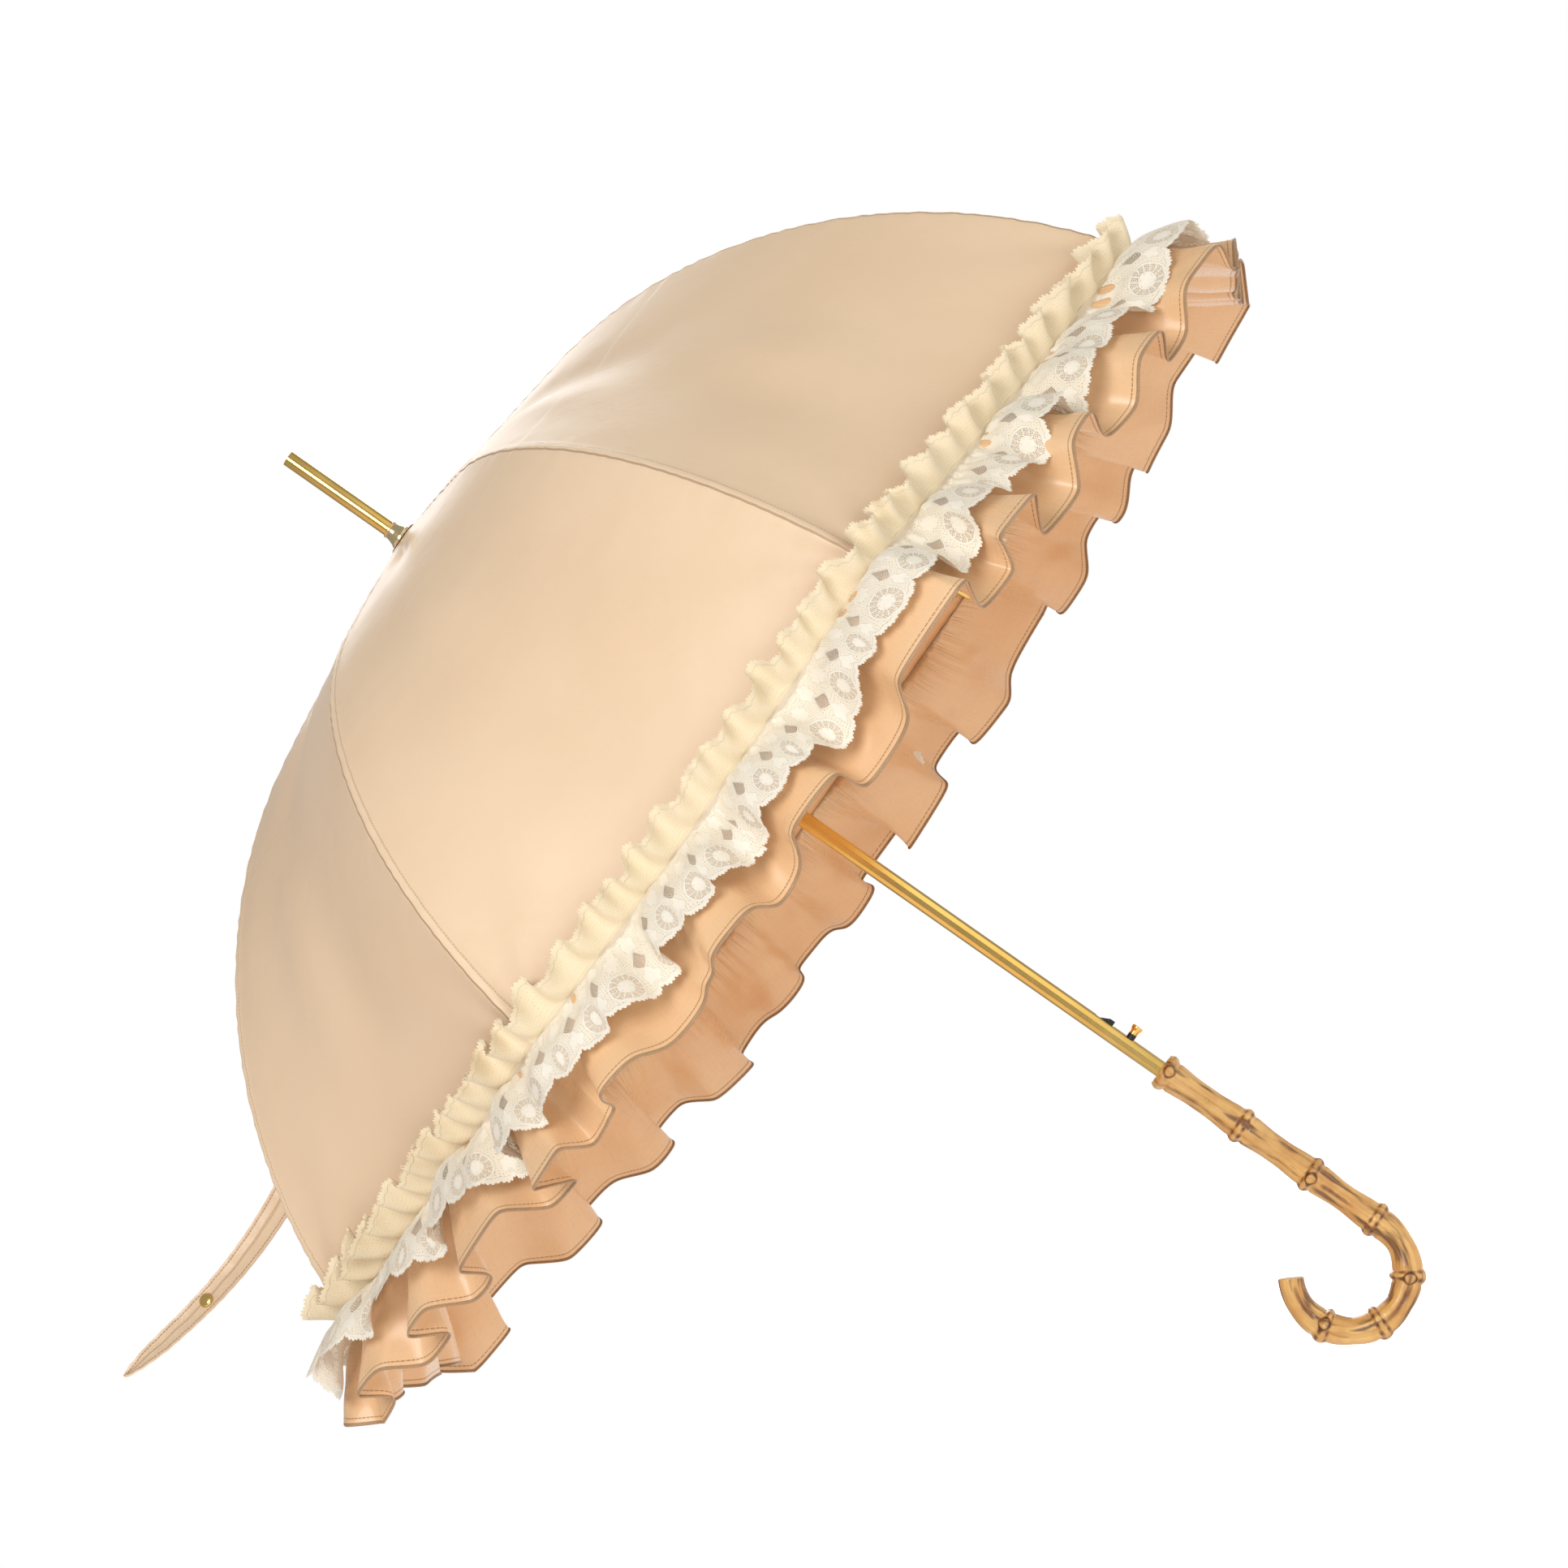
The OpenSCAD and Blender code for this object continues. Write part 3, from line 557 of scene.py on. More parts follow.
def bamboo_finish():
    """Bamboo: long fibres, pale and tan streaks, amber mottling, and scorched rings and grooves."""
    finish = Finish("scorched_bamboo", Specular_IOR_Level=0.5, Coat_Weight=0.35, Coat_Roughness=0.22)
    fibres = finish.noise(1.0, "UV", (1500, 22, 1), 3.0)
    streaks = finish.noise(1.0, "UV", (240, 9, 1), 3.0).ramp(0.3, 0.7)
    mottle = finish.noise(55.0, detail=4.0).ramp(0.35, 0.7)
    scorch = finish.mark("scorch")
    burn = scorch + (finish.noise(190.0, detail=4.0) - 0.5) * 0.55 * scorch.ramp(0.02, 0.3)
    smoked = finish.noise(1.0, "UV", (150, 24, 1), 3.0).ramp(0.50, 0.64)
    finish.set("Base Color", finish.coats(
        (0.82, 0.54, 0.19), (streaks * 0.8, (0.56, 0.29, 0.08)), (mottle * 0.6, (0.50, 0.22, 0.05)),
        (smoked * 0.9, (0.12, 0.04, 0.012)), (fibres.ramp(0.45, 0.7) * 0.25, (0.80, 0.56, 0.27)),
        (finish.mark("cut"), (0.70, 0.50, 0.27)), (burn.ramp(0.12, 0.55) * 0.75, (0.26, 0.10, 0.028)),
        (burn.ramp(0.55, 0.95) * 0.9, (0.055, 0.020, 0.008)),
    ))
    finish.set("Roughness", fibres * 0.16 + burn.ramp(0.3, 0.9) * 0.12 + 0.27)
    finish.relief(fibres * 0.5 + burn.ramp(0.4, 0.9) * -0.6, 0.00012)
    return finish.material


LIGHT_SATIN, DEEP_SATIN = (0.84, 0.64, 0.445), (0.77, 0.56, 0.365)
satin = satin_finish("champagne_satin", LIGHT_SATIN, DEEP_SATIN, rib_seams)
# The canopy's inside: a warmer, more saturated copy of the satin. This is a painted glow that stands in for
# light through the cloth and light bounced inside the canopy.
glow_painted_satin = satin_finish("inner_satin_painted_glow", (0.84, 0.52, 0.27), (0.72, 0.38, 0.15), rib_seams, 0.55)
frill_satin = satin_finish("ruffle_satin", (0.85, 0.58, 0.345), (0.76, 0.43, 0.20), ruffle_hem, 0.30)
strap_satin = satin_finish("strap_satin", LIGHT_SATIN, DEEP_SATIN, strap_stitching, 0.36)
plain_satin = satin_finish("rosette_satin", LIGHT_SATIN, DEEP_SATIN)
lace = lace_finish()
gold = metal_finish("polished_gold", (0.95, 0.66, 0.22), (0.84, 0.54, 0.15), 0.12)
pale_gold = metal_finish("pale_gold", (0.90, 0.74, 0.46), (0.78, 0.58, 0.30), 0.20)
steel = metal_finish("plated_steel", (0.80, 0.80, 0.79), (0.62, 0.61, 0.59), 0.17)
spring_steel = metal_finish("spring_steel", (0.52, 0.53, 0.55), (0.38, 0.38, 0.38), 0.27)
black = lacquer_finish()
bamboo = bamboo_finish()


# --- The canopy ---

HALF = GORE / 2
SEAM_SIDE = np.linspace(0, 1, 31) ** 1.7
SEAM_SIDE = np.concatenate([[-1.03], -SEAM_SIDE[:0:-1], SEAM_SIDE, [1.03]])


def gather_up(angle):
    """How far above the ribs' tips the ruffles are sewn on: more on the crook's side."""
    return GATHER_UP * np.clip(-np.cos(angle), 0, 1) ** 2


def canopy_points(s, turn, rib, under=0.0):
    """Points of the canopy at distances s down the ribs and angles turn from one rib. The radius is the
    rib curve's times the gore's share. Over it lie the felled seam's step, the seam's puckers, creases
    that fan out from the rib's tip, gathers at the hem and a slow unevenness, all square to the rib."""
    s, turn = np.meshgrid(s, turn, indexing="ij")
    angle = turn + rib_angle(rib)
    s = s - np.clip((s - JOINT_S) / RIB_OUTER, 0, 1) * gather_up(angle)
    r, z = cloth_point(s)
    share = gore_share(turn)
    side = r * share * np.tan(turn)
    near_crown = smooth_step(s, 0.02, 0.09)
    fade = 1 - smooth_step(np.abs(turn) / HALF, 0.5, 0.95)
    below = TIP_S - gather_up(angle) - s
    from_tip = np.hypot(side, below)
    fan = np.arctan2(np.abs(side), below + 1e-6)
    out = 0.00055 * (smooth_step(side, 0.0002, 0.0009) - smooth_step(side, 0.0052, 0.0064)) * near_crown
    out -= 0.0004 * np.exp(-((side / 0.0007) ** 2)) * near_crown
    pucker = np.cos(TURN * s / 0.015 + 2 * np.sin(s * 90 + rib))
    out += 0.00038 * pucker * np.exp(-np.abs(side) / 0.009) * near_crown
    crease = np.cos(9 * fan + 0.6 * np.sin(3 * fan))
    out += 0.0014 * fade * crease * np.exp(-from_tip / 0.075) * smooth_step(from_tip, 0.004, 0.03)
    out += 0.0006 * fade * np.cos(TURN * side / 0.0085) * np.exp(-below / 0.012)
    mid = smooth_step(np.abs(turn) / HALF, 0.15, 1.0)
    uneven = waver(angle, [(1, 11, 0.4), (0.7, 19, 2.1)])
    out += mid * 0.0022 * uneven * np.sin(s * 17 + 3 * np.sin(angle)) * near_crown
    out -= 0.0025 * mid * smooth_step(s, 0.12, 0.3) * smooth_step(below, 0.0, 0.12)
    slope = rib_slope(np.maximum(s, CROWN_S))
    r = r * share + (out - under) * np.sin(slope)
    points = turned(r, z + (out - under) * np.cos(slope), angle)
    return points, np.stack([side, s], -1)


def canopy_piece(name, s, rib, body, tuck=None):
    """One rib's share of the canopy, from gore's middle to gore's middle. tuck, if given, is how far
    each row lies under the row above, so that the two lengths stay lapped as the rib folds."""
    points, uv = canopy_points(s, SEAM_SIDE * HALF, rib)
    if tuck is not None:
        under, _ = canopy_points(s, SEAM_SIDE * HALF, rib, 0.0011)
        share = tuck[:, None, None]
        points = points * (1 - share) + under * share
    piece, points = cloth(name, points, CLOTH_T, satin, glow_painted_satin, uv, pad=1)
    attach(piece, body)
    squash_at(piece)
    return piece, points


def squash_at(piece):
    """Gives the piece a mesh of its own."""
    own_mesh(piece)


top_rows = np.concatenate([np.linspace(0, CROWN_S, 7)[:-1], np.linspace(CROWN_S, JOINT_S, 46)])
flap_rows = np.linspace(JOINT_S - 0.034, JOINT_S, 8)
HEM_BAND = 0.03
side_rows = np.concatenate([
    flap_rows[:-1],
    np.linspace(JOINT_S, TIP_S - HEM_BAND, 56)[:-1],
    np.linspace(TIP_S - HEM_BAND, TIP_S, 13),
])
tucked = 1 - smooth_step(side_rows, JOINT_S - 0.004, JOINT_S)

for rib in range(RIBS):
    inner, outer = f"inner_rib_{rib + 1}", f"outer_rib_{rib + 1}"
    piece, points = canopy_piece(f"canopy_top_{rib + 1}", top_rows, rib, inner)
    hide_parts("canopy")
    piece, points = canopy_piece(f"canopy_side_{rib + 1}", side_rows, rib, outer, tucked)


# --- The ruffles ---


def bessel(order, x):
    """The Bessel function of that order: the mean of the cosine of order times a turn less x times its
    sine, over half a turn."""
    t = (np.arange(64) + 0.5) * np.pi / 64
    return np.cos(order * t - x[..., None] * np.sin(t)).mean(-1)


def fold(phase, swing, pitch):
    """A gathered edge seen end on: the meander whose direction swings by swing times the sine of the
    phase, so that past a quarter turn the folds overhang. Gives the shift along and the height."""
    j0 = bessel(0, swing)
    along = sum(bessel(2 * k, swing) * np.sin(2 * k * phase) / (2 * k) for k in (1, 2))
    height = sum(bessel(2 * k + 1, swing) * np.cos((2 * k + 1) * phase) / (2 * k + 1) for k in (0, 1))
    return pitch / TURN * 2 / j0 * along, -pitch / TURN * 2 / j0 * height


UNEVEN = [(1.0, 3, 1.1), (0.75, 7, 0.3), (0.5, 13, 2.0), (0.26, 23, 0.9)]
LACE_UNEVEN = [(0.9, 4, 0.6), (0.7, 9, 1.9), (0.42, 17, 0.2), (0.25, 31, 2.4)]
LOOP_UNEVEN = [(0.9, 5, 0.3), (0.8, 11, 1.3), (0.6, 29, 2.0)]
SATIN_WAVES, LACE_WAVES, LOOPS = 31, 54, 108
HEM_R = float(cloth_point(TIP_S)[0])


def satin_flare(angle):
    """The ruffle's lean from the tube's direction: it hangs over the handle's side, springs out past
    the button's side and is thrown wide on the crook's side."""
    toward = np.cos(angle)
    return np.radians(27 + 16 * np.clip(toward, 0, 1) ** 2 + 26 * np.clip(-toward, 0, 1) ** 2)


def phase_of(angle, waves, uneven):
    """The waves' phase round the hem, unevenly spaced, and how fast it grows with the angle."""
    faster = sum(amount * times * np.cos(times * angle + shift) for amount, times, shift in uneven)
    return waves * angle + waver(angle, uneven), waves + faster


def hem_line(angle, lift=0.0):
    """Radius and height of the line that the ruffles are sewn on, at an angle."""
    r, z = cloth_point(TIP_S - gather_up(angle), lift)
    return r * gore_share(from_nearest_rib(angle)), z


def satin_folds(angle, far):
    """Shift along the hem, as an angle, and height of the satin's waves at the distance far from it."""
    phase, rate = phase_of(angle, SATIN_WAVES, UNEVEN)
    swing = 1.62 * (0.88 + waver(angle, [(0.13, 5, 0.8), (0.11, 12, 2.2), (0.06, 29, 1.0)]))
    swing = swing * np.clip(far / SATIN_W, 0, 1.1) ** 0.55
    pitch = TURN * HEM_R / rate
    along, height = fold(phase + 0.5 * (far / SATIN_W) * np.sin(9 * angle), swing, pitch)
    height = height + 0.0022 * (far / SATIN_W) * waver(angle, [(1, 61, 0.4), (0.7, 89, 1.5)])
    return along / HEM_R, height


def flounce(angle, far, flare, height, shift, lift):
    """Points of a ruffle: from the hem line, out along the flare and up from it by the height."""
    r, z = hem_line(angle + shift, lift)
    height = RISE_MOST * np.tanh(height / RISE_MOST)
    out = far * np.sin(flare) + height * np.cos(flare)
    down = far * np.cos(flare) - height * np.sin(flare)
    return turned(r + out, z - down, angle + shift)


def rolled(points, radius, steps=6):
    """The rows of a small roll that closes a free edge: a part turn of that radius about a point just
    under it, in the plane of the surface's own normal and its way down."""
    down = unit(points[-1] - points[-2])
    side = unit(np.gradient(points[-1], axis=0))
    face = unit(np.cross(down, side))
    turn = np.linspace(0, 1.4 * np.pi, steps + 1)[1:, None, None]
    return points[-1] + radius * (np.sin(turn) * down + (1 - np.cos(turn)) * -face)


def ruffle_piece(name, points, along, far, from_edge, rib, kind):
    """A length of ruffle, cut from the whole so that neighbours share their edges."""
    uv = np.stack([along, far], -1)
    if kind == "satin":
        piece, points = cloth(
            name, points, FRILL_SATIN_T, frill_satin, frill_satin, uv, {"from_edge": from_edge}, PAD
        )
    else:
        points, uv, from_edge = (a[:, PAD:-PAD] for a in (points, uv, from_edge))
        piece = surface(name, points, lace, uv, {"from_edge": from_edge})
    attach(piece, f"outer_rib_{rib + 1}")
    squash_at(piece)
    return piece, points


def segment_angles(rib, columns):
    """Evenly spaced angles over one rib's share of the hem, with a few more on each side."""
    step = GORE / columns
    return rib_angle(rib) - HALF + step * np.arange(-PAD, columns + PAD + 1)


def satin_ruffle(rib):
    """The satin ruffle below one rib: fine gathers at the seam that open into deep folds, and a small
    roll along the free edge."""
    far = np.linspace(0, 1, 36) ** 0.9 * SATIN_W
    angle, far = np.meshgrid(segment_angles(rib, SATIN_COLUMNS), far)
    shift, height = satin_folds(angle, far)
    gathers = 0.0016 * np.exp(-far / 0.014) * np.sin(300 * angle + 2.0 * np.sin(41 * angle))
    gathers = gathers * smooth_step(far, 0, 0.003)
    crumple = 0.0011 * np.sin(far * 190 + 2 * np.sin(53 * angle)) * np.sin(71 * angle + far * 60)
    crumple = crumple * smooth_step(far, 0.01, 0.04)
    width = 1 + 0.03 * waver(angle, [(1, 17, 0.3), (1, 26, 1.3)])
    height = height + gathers + crumple - 0.0004
    points = flounce(angle, far * width, satin_flare(angle), height, shift, -0.0009)
    points = np.concatenate([points, rolled(points, SATIN_ROLL_R)])
    extra = points.shape[0] - far.shape[0]
    along = np.repeat(angle[:1] * HEM_R * FULLNESS, points.shape[0], 0)
    far = np.concatenate([far, np.repeat(far[-1:], extra, 0)])
    return ruffle_piece(f"satin_ruffle_{rib + 1}", points, along, far, SATIN_W - far, rib, "satin")


def lace_ruffle(rib):
    """The lace over it: its own closer folds ride on the satin's, its edge is scalloped, and above the
    gathering line it stands up as a looped frill."""
    rows = np.concatenate([-np.linspace(1, 0, 17)[:-1] * LACE_HEADER, np.linspace(0, 1, 30) * LACE_W])
    toward_crook = np.clip(-np.cos(segment_angles(rib, LACE_COLUMNS)), 0, 1)
    angle, far = np.meshgrid(segment_angles(rib, LACE_COLUMNS), rows)
    along = angle * HEM_R * FULLNESS
    scallop = np.abs(np.sin(np.pi * along / LACE_REPEAT)) ** 0.7
    scallop = scallop + 0.22 * np.abs(np.sin(np.pi * along / (LACE_REPEAT / 5)))
    length = LACE_W - 0.0065 + 0.0065 * scallop
    header = LACE_HEADER + 0.004 * toward_crook + 0.0016 * waver(angle, [(1, 47, 0.3), (1, 83, 2.0)])
    frill_length = header - 0.0015 + 0.0015 * np.abs(np.sin(np.pi * along / 0.0083))
    below = np.clip(far, 0, None) / LACE_W * length
    above = np.clip(-far, 0, None) / LACE_HEADER * frill_length
    satin_shift, satin_height = satin_folds(angle, below)
    phase, rate = phase_of(angle, LACE_WAVES, LACE_UNEVEN)
    swing = 1.40 * (0.9 + waver(angle, [(0.12, 6, 0.2), (0.1, 14, 1.2), (0.06, 33, 0.5)]))
    swing = swing * np.clip(below / LACE_W, 0, 1) ** 0.5
    own_shift, own_height = fold(phase, swing, TURN * HEM_R / rate)
    gathers = 0.0013 * np.exp(-below / 0.010) * np.sin(300 * angle + 2 * np.sin(37 * angle))
    gathers = gathers * smooth_step(below, 0, 0.003)
    rise = 0.0110 * smooth_step(below, 0, 0.03)
    crumple = 0.0012 * np.sin(below * 240 + 2 * np.sin(61 * angle)) * np.sin(83 * angle)
    crumple = crumple * smooth_step(below, 0.004, 0.02)
    flare = satin_flare(angle) + LACE_EXTRA_FLARE * (1 + 2 * toward_crook**2)
    height = 0.75 * satin_height + own_height * 0.85 + gathers + rise + crumple
    shift = 0.75 * satin_shift + own_shift / HEM_R
    lower = flounce(angle, below, flare, height, shift, LACE_OVER_SATIN)
    loops, loop_rate = phase_of(angle, LOOPS, LOOP_UNEVEN)
    loop_swing = 1.72 * (0.85 + waver(angle, [(0.13, 9, 0.5), (0.12, 21, 1.0)]))
    loop_swing = loop_swing * (above / 0.03) ** 0.5
    loops = loops + 0.5 * np.sin(above * 160)
    loop_shift, loop_height = fold(loops, loop_swing, TURN * HEM_R / loop_rate)
    turn = angle + loop_shift / HEM_R
    lean_along, lean_out = math.cos(FRILL_LEAN), math.sin(FRILL_LEAN)
    s = TIP_S - gather_up(turn) - above * lean_along + loop_height * lean_out
    stand = np.maximum(LACE_OVER_SATIN + above * lean_out + loop_height * lean_along, 0.0016)
    r, z = cloth_point(s)
    slope = rib_slope(s)
    r = r * gore_share(from_nearest_rib(turn)) + stand * np.sin(slope)
    upper = turned(r, z + stand * np.cos(slope), turn)
    points = np.where((far < 0)[..., None], upper, lower)
    from_edge = np.where(far < 0, frill_length - above, length - below)
    return ruffle_piece(f"lace_ruffle_{rib + 1}", points, along, far, from_edge, rib, "lace")


for rib in range(RIBS):
    piece, points = satin_ruffle(rib)
    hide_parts("satin_ruffle")
    piece, points = lace_ruffle(rib)
    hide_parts("lace_ruffle")


# --- The rosette under the crown's cap ---


def rosette():
    """A pleated washer of satin: radius against angle, with a pleat's wave that grows outwards."""
    low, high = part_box("crown_rosette")
    r, angle = np.meshgrid(
        np.linspace(CLOTH_START_R, float(high.x), 10), np.linspace(0, TURN, 193), indexing="ij"
    )
    outward = (r - CLOTH_START_R) / (high.x - CLOTH_START_R)
    z = (low.z + high.z) / 2 + 0.00022 * np.cos(24 * angle) * outward - 0.0002 * outward**3
    points = turned(r, z, angle)
    uv = np.stack([r * angle, r], -1)
    piece, points = cloth("crown_rosette_cloth", points, ROSETTE_T, plain_satin, plain_satin, uv)
    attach(piece, "root")
    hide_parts("crown_rosette")


rosette()


# --- The tie strap and its snap ---

STRAP_LEN, STRAP_W, STRAP_TAPER, STRAP_TWIST = 0.227, 0.021, 0.28, math.radians(40)
STRAP_WAY = unit(np.array([-1, 0, 0.045]))
STRAP_SAG, STRAP_SEWN_AT = 0.015, JOINT_S + RIB_OUTER * 0.52
STRAP_RIB, SNAP_AT, SNAP_R = 5, 0.67, 0.005
STRAP_SIDE = unit(np.cross(STRAP_WAY, [0, 0, 1]))
STRAP_UP = np.cross(STRAP_SIDE, STRAP_WAY)


def strap_frame(t):
    """The strap's middle, its way across and its face at the shares t of its length: a straight line
    that sags as a half sine, and a face that turns evenly."""
    t = np.asarray(t, float)[..., None]
    r, z = cloth_point(STRAP_SEWN_AT, 0.0016 + STRAP_W / 4)
    a = rib_angle(STRAP_RIB)
    start = np.array([r * math.cos(a), r * math.sin(a), z])
    middle = start + STRAP_LEN * t * STRAP_WAY - STRAP_SAG * np.sin(np.pi * t) * np.array([0, 0, 1])
    across = np.cos(STRAP_TWIST * t) * STRAP_UP + np.sin(STRAP_TWIST * t) * STRAP_SIDE
    return middle, across, np.cross(STRAP_WAY, across)


def tie_strap():
    """A folded band of satin that tapers, comes to a point, and cups a little across its width."""
    point = 0.84 + 0.16 * np.sin(np.linspace(0, 0.5, 22) * np.pi)
    t = np.concatenate([np.linspace(-0.05, 0.84, 64)[:-1], point])
    c = np.linspace(-1, 1, 21)
    middle, across, face = strap_frame(t)
    narrowing = np.sqrt(np.clip(1 - (np.clip(t - 0.84, 0, 1) / 0.16) ** 1.6, 0, 1))
    half = np.maximum(STRAP_W / 2 * (1 - STRAP_TAPER * t) * narrowing, 0.0004)
    tt, cc = np.meshgrid(t, c, indexing="ij")
    ridge = np.exp(-((cc - 0.1) / 0.12) ** 2) * (1 - smooth_step(tt, 0.3, 0.7))
    bow = 0.0013 * (1 - cc**2) + 0.0006 * ridge
    bow = bow + 0.0005 * np.sin(tt * 61) * (1 - cc**2) + 0.0003 * np.cos(tt * 140) * np.abs(cc)
    points = middle[:, None] + (half[:, None] * cc)[..., None] * across[:, None]
    points = points + bow[..., None] * face[:, None]
    uv = np.stack([half[:, None] * cc, tt * STRAP_LEN], -1)
    edge = np.minimum(half[:, None] * (1 - np.abs(cc)), (1 - tt) * STRAP_LEN)
    piece, points = cloth(
        "tie_strap_cloth", points, STRAP_T, strap_satin, strap_satin, uv, {"from_edge": edge}
    )
    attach(piece, f"outer_rib_{STRAP_RIB + 1}")
    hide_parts("tie_strap")


def strap_snap(name, node, side, profile):
    """A turned disc on the strap: the profile's radius and height, spun about the strap's face."""
    middle, across, face = (v.reshape(3) for v in strap_frame(SNAP_AT))
    face = face * side
    angle = np.linspace(0, TURN, 49)[:-1]
    r, h = (np.array(v)[:, None] for v in zip(*profile))
    way = np.cos(angle)[None, :, None] * STRAP_WAY + np.sin(angle)[None, :, None] * across
    base = middle + face * (0.0006 + (0.0013 if side > 0 else -0.0009))
    points = base + r[..., None] * way + h[..., None] * face
    piece = surface(name, points, gold, closed_cols=True, weld=True, sharp=math.radians(38))
    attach(piece, f"outer_rib_{STRAP_RIB + 1}")
    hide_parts(node)


tie_strap()
dome = np.linspace(0, np.pi / 2, 9)
strap_snap("snap_cap_turned", "snap_cap", -1,
           [(0, 0), (SNAP_R, 0), (SNAP_R * 1.02, 0.0003), (SNAP_R, 0.0006), (SNAP_R * 0.86, 0.0007)]
           + [(SNAP_R * 0.84 * math.cos(a), 0.0007 + 0.0011 * math.sin(a)) for a in dome[1:-1]]
           + [(0, 0.0018)])
strap_snap("snap_socket_turned", "snap_socket", 1,
           [(0, 0), (SNAP_R, 0), (SNAP_R * 1.02, 0.0004), (SNAP_R, 0.0008), (SNAP_R * 0.66, 0.0009),
            (SNAP_R * 0.60, 0.0018), (SNAP_R * 0.50, 0.0020), (SNAP_R * 0.36, 0.0018),
            (SNAP_R * 0.34, 0.0008), (0, 0.0008)])


# --- The opening spring ---


def opening_spring():
    """A coil: a small circle carried round a helix, whose ends are closed and lie flat."""
    low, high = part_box("opening_spring")
    wire, turns = 0.00055, 16
    t = np.linspace(0, 1, turns * 26 + 1)
    climb = np.clip((t * turns - 0.7) / (turns - 1.4), 0, 1)
    angle, r = TURN * turns * t, float(high.x) - wire
    z = low.z + wire * 1.05 + (high.z - low.z - 2.1 * wire) * climb
    k = np.linspace(0, TURN, 11)[:-1]
    width = np.full(len(t), wire)
    width[[0, -1]] = 0
    points = turned(r + width[:, None] * np.cos(k), z[:, None] + width[:, None] * np.sin(k), angle[:, None])
    piece = surface("spring_coil", points, spring_steel, closed_cols=True, weld=True)
    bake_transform(piece)
    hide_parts("opening_spring")


opening_spring()


# --- The bamboo crook ---

STRAIGHT_KNUCKLES = [0.004, 0.064, 0.119, GRIP_LEN - 0.006]
KNUCKLES = np.array(STRAIGHT_KNUCKLES + [GRIP_LEN + CROOK_R * math.radians(a) for a in (58, 114, 170)])
BUDS = np.array([4.9, 1.6, 4.5, 1.3, 4.8, 1.7, 4.6])
CANE_WAIST = 0.0014
CANE_LEN = GRIP_LEN + CROOK_R * CROOK_TURN


def cane_surface(along, around):
    """Offset from the cane's plain radius and how scorched it is. The cane is waisted between knuckles.
    A knuckle is a ridge between two grooves with two broken scorched rings, a round bud with a dark
    outline sits on one side of it, and a shallow flute runs on from the bud."""
    out = 0.0003 * np.cos(2 * around + along * 9) + 0.00015 * np.sin(5 * around + along * 23)
    nearest = np.min(np.abs(along[..., None] - KNUCKLES), axis=-1)
    out -= CANE_WAIST * smooth_step(nearest, 0.003, 0.024)
    scorch = np.zeros_like(along)
    for at, bud in zip(KNUCKLES, BUDS):
        d = along - at
        strength = 0.35 if at == KNUCKLES[0] else 1.0
        ridge = np.exp(-np.abs(d / 0.0034) ** 2.2)
        out += (KNUCKLE_OUT - 0.0006) * ridge * (1 + 0.12 * np.cos(around - bud))
        grooves = 0.0007 * np.exp(-((d - 0.0045) / 0.0013) ** 2)
        out -= grooves + 0.0004 * np.exp(-((d + 0.0045) / 0.0013) ** 2)
        side = np.angle(np.exp(1j * (around - bud)))
        eye = np.hypot(side * BAMBOO_R, d - 0.0015)
        out += 0.0011 * (1 - smooth_step(eye, 0.0022, 0.0036))
        flute = np.exp(-((side / 0.20) ** 2)) * smooth_step(d, 0.006, 0.012)
        flute = flute * (1 - smooth_step(d, 0.022, 0.042))
        out -= 0.0008 * flute
        broken = 0.7 + 0.3 * np.sin(11 * around + 900 * at)
        rings = 0.95 * np.exp(-((d - 0.0020) / 0.0014) ** 2) + 0.85 * np.exp(-((d + 0.0028) / 0.0011) ** 2)
        scorch += strength * broken * rings
        scorch += 0.75 * flute * strength + 0.85 * np.exp(-(((eye - 0.0036) / 0.0007) ** 2))
        scorch = scorch * (1 - 0.8 * (1 - smooth_step(eye, 0.0020, 0.0030)))
    return out, np.clip(scorch, 0, 1.1)


def cane_points(along, radius, around):
    """Points round the cane's middle line: straight down, then round the crook's circle in the plane of
    the tube's axis."""
    a = np.clip((along - GRIP_LEN) / CROOK_R, 0, None)
    down = np.minimum(along, GRIP_LEN)
    reach = radius * np.cos(around)
    x = -CROOK_R + (CROOK_R + reach) * np.cos(a)
    z = -down - (CROOK_R + reach) * np.sin(a)
    return np.stack([x, radius * np.sin(around), z], -1)


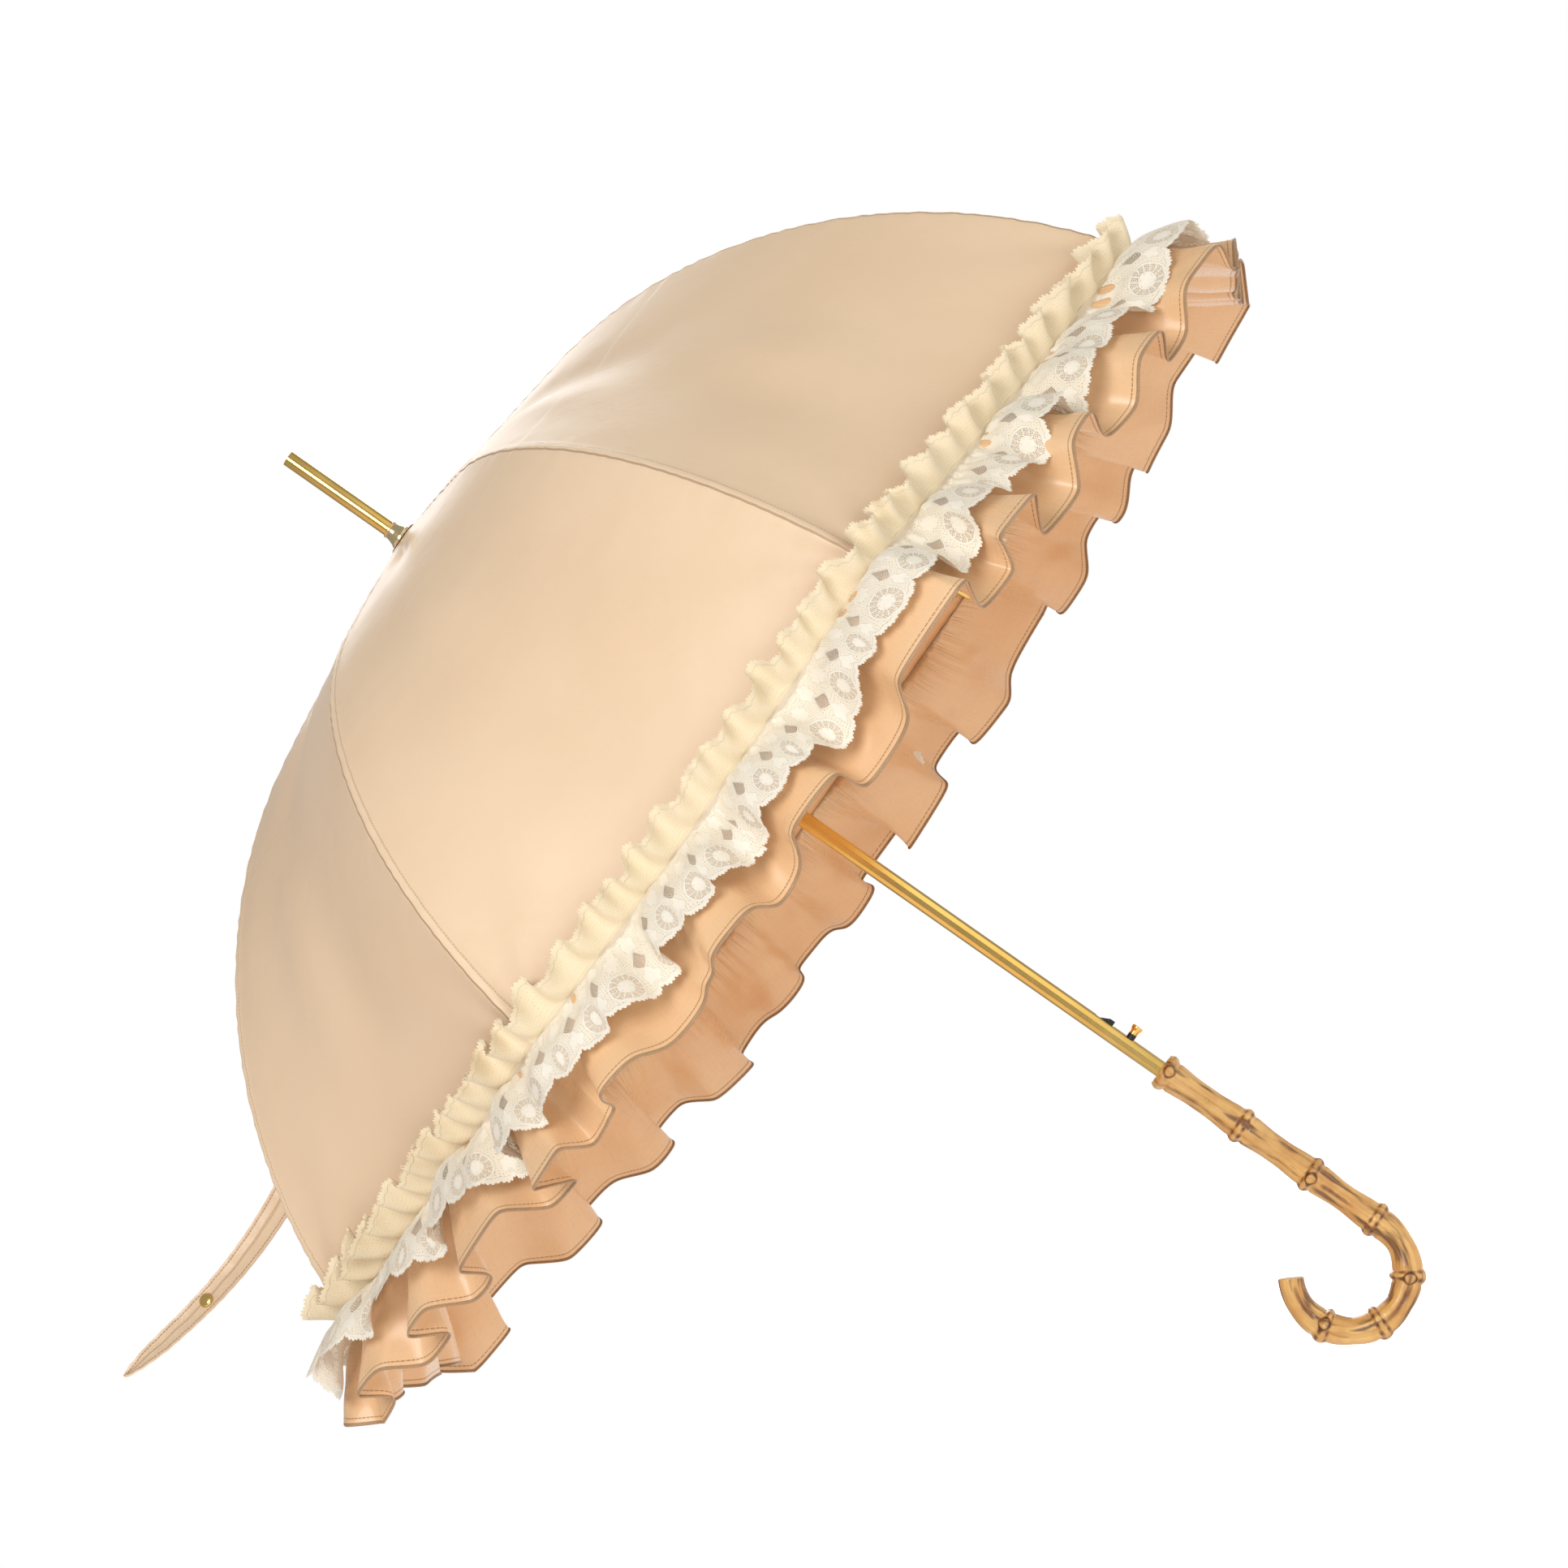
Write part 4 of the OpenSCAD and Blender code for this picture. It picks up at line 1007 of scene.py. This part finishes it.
def bamboo_handle():
    """The cane as one closed surface: up the bore, over the top face, along the outside and across the
    cut end."""
    columns = 96
    around = np.linspace(0, TURN, columns + 1)[:-1]
    body = np.linspace(0.0010, CANE_LEN - 0.0010, 560)
    bore_r = TUBE_R + 0.00002
    bore_foot = -TUBE_FOOT + 0.001
    length, a = np.meshgrid(body, around, indexing="ij")
    out, scorch = cane_surface(length, a)
    side_r = BAMBOO_R + out
    start_r, end_r = side_r[:1], side_r[-1:]
    ring = np.ones((1, columns))
    bevel = 0.0010
    steps = np.linspace(0, np.pi / 2, 5)
    lead = [(bore_foot * ring, 0 * ring), (bore_foot * ring, bore_r * ring), (0.0003 * ring, bore_r * ring),
            (0 * ring, (bore_r + 0.0003) * ring)]
    top = [(0 * ring, start_r - bevel)]
    top += [((bevel - bevel * np.sin(t)) * ring, start_r - bevel + bevel * np.cos(t)) for t in steps[3:0:-1]]
    close = [((CANE_LEN - bevel + bevel * np.sin(t)) * ring, end_r - bevel + bevel * np.cos(t))
             for t in steps[1:]]
    close += [(CANE_LEN * ring, end_r * k) for k in (0.66, 0.34, 0.0)]
    parts = lead + top
    lengths = np.concatenate([p[0] for p in parts] + [length] + [p[0] for p in close])
    radii = np.concatenate([p[1] for p in parts] + [side_r] + [p[1] for p in close])
    burnt = np.concatenate([np.repeat(scorch[:1] * 0.4, len(parts), 0), scorch,
                            np.repeat(ring * 0.25, len(close), 0)])
    cut = np.concatenate([np.repeat(ring, len(parts), 0), 0 * scorch, np.repeat(ring, len(close), 0)])
    cut[len(parts) - 4: len(parts)] = 0.3
    angles = np.broadcast_to(around, lengths.shape)
    points = cane_points(lengths, radii, angles)
    uv = np.stack([np.abs(np.angle(np.exp(1j * angles))) * BAMBOO_R, lengths], -1)
    piece = surface("bamboo_crook", points, bamboo, uv, {"scorch": burnt, "cut": cut},
                    closed_cols=True, weld=True, sharp=math.radians(50))
    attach(piece, "root")
    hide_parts("handle")


bamboo_handle()

# --- The CAD parts that stay as they are take their finishes ---

PAINT = {
    "shaft_tube": gold, "ferrule": gold, "crown_cap": pale_gold, "runner_sleeve": gold,
    "button_cap": gold, "handle_pin": gold, "top_notch": black, "runner_gallery": black,
    "catch": black, "button_stem": black, "notch_wire": steel, "notch_pin": steel,
    "runner_wire": steel, "release_pin": steel, "release_strip": steel,
}
for i in range(1, RIBS + 1):
    PAINT.update({f"inner_rib_{i}": steel, f"outer_rib_{i}": steel, f"stretcher_{i}": steel})
    PAINT[f"rib_tip_{i}"] = gold
for node, material in PAINT.items():
    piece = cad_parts[node]
    if not piece.material_slots:
        piece.data.materials.append(material)
    for place in piece.material_slots:
        place.material = material


# --- Floor, light and camera ---


def studio_floor(height):
    """A pale level floor, wide enough to have no edge in view."""
    reach = 40.0
    corners = [(reach * x, reach * y, height) for x, y in ((-1, -1), (1, -1), (1, 1), (-1, 1))]
    mesh = bpy.data.meshes.new("studio_floor")
    mesh.from_pydata(corners, [], [(0, 1, 2, 3)])
    finish = Finish("studio_white", Roughness=0.9, Base_Color=(0.94, 0.94, 0.94), Specular_IOR_Level=0.1)
    finish.set("Emission Color", (1.0, 1.0, 1.0))
    path = add_node(finish.tree, "LightPath")
    finish.set("Emission Strength", Number(finish.tree, path.outputs["Is Camera Ray"]) * 0.75 + 0.3)
    mesh.materials.append(finish.material)
    floor = placed("studio_floor", mesh)


def studio_world(seen, ambient):
    """White to the eye, and a dimmer even light on the parasol."""
    world = bpy.data.worlds.new("studio_white_world")
    bpy.context.scene.world = world
    world.use_nodes = True
    tree = world.node_tree
    shown = add_node(tree, "Background", Color=(1, 1, 1), Strength=seen)
    light = add_node(tree, "Background", Color=(1.0, 0.985, 0.965), Strength=ambient)
    seen_by = add_node(tree, "LightPath").outputs["Is Camera Ray"]
    mixed = add_node(tree, "MixShader")
    for source, slot in zip((seen_by, light.outputs[0], shown.outputs[0]), mixed.inputs):
        tree.links.new(source, slot)
    tree.links.new(mixed.outputs[0], tree.nodes["World Output"].inputs["Surface"])


def softbox(name, place, target, width, height, power, colour=(1, 1, 1)):
    """An oblong soft light at a place, facing a target."""
    light = bpy.data.lights.new(name, "AREA")
    light.shape, light.size, light.size_y = "RECTANGLE", width, height
    light.energy, light.color = power, colour
    lamp = placed(name, light)
    lamp.location = place
    lamp.rotation_euler = (Vector(place) - Vector(target)).to_track_quat("Z", "Y").to_euler()


LENS_DISTANCE = 4.203
AZIMUTH, ELEVATION, ROLL = (math.radians(v) for v in (-0.03, -4.02, -55.01))
LOOKED_AT = Vector((0.01157, 0.0, 0.30925))


def studio_camera():
    """A long lens level with the handle's top, tipped so that the tube runs across the frame."""
    level = math.cos(ELEVATION)
    back = Vector((-math.sin(AZIMUTH) * level, -math.cos(AZIMUTH) * level, math.sin(ELEVATION)))
    right = Vector((math.cos(AZIMUTH), -math.sin(AZIMUTH), 0))
    up = back.cross(right)
    across = math.cos(ROLL) * right + math.sin(ROLL) * up
    upright = -math.sin(ROLL) * right + math.cos(ROLL) * up
    lens = bpy.data.cameras.new("studio_camera")
    lens.lens, lens.sensor_width = 147.0, 36.0
    lens.clip_start, lens.clip_end = 0.1, 200.0
    camera = placed("studio_camera", lens)
    turn = Matrix((across, upright, back)).transposed()
    camera.matrix_world = Matrix.Translation(LOOKED_AT + LENS_DISTANCE * back) @ turn.to_4x4()
    bpy.context.scene.camera = camera


lowest = float(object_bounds()[0].z)
studio_floor(lowest - 0.002)
studio_world(1.0, 0.36)
middle = (0.0, 0.0, 0.30)
softbox("front_softbox", (-0.4, -3.4, 1.9), middle, 1.7, 1.7, 70, (1.0, 0.985, 0.97))
softbox("side_softbox", (3.0, -1.8, 0.6), middle, 4.6, 1.1, 13, (1.0, 0.93, 0.68))
softbox("back_softbox", (0.8, 3.4, 1.9), middle, 2.2, 2.2, 46)
softbox("left_softbox", (-3.2, -0.8, 0.6), middle, 3.6, 1.1, 8, (1.0, 0.62, 0.38))
studio_camera()
bpy.context.scene.view_settings.view_transform = "Standard"
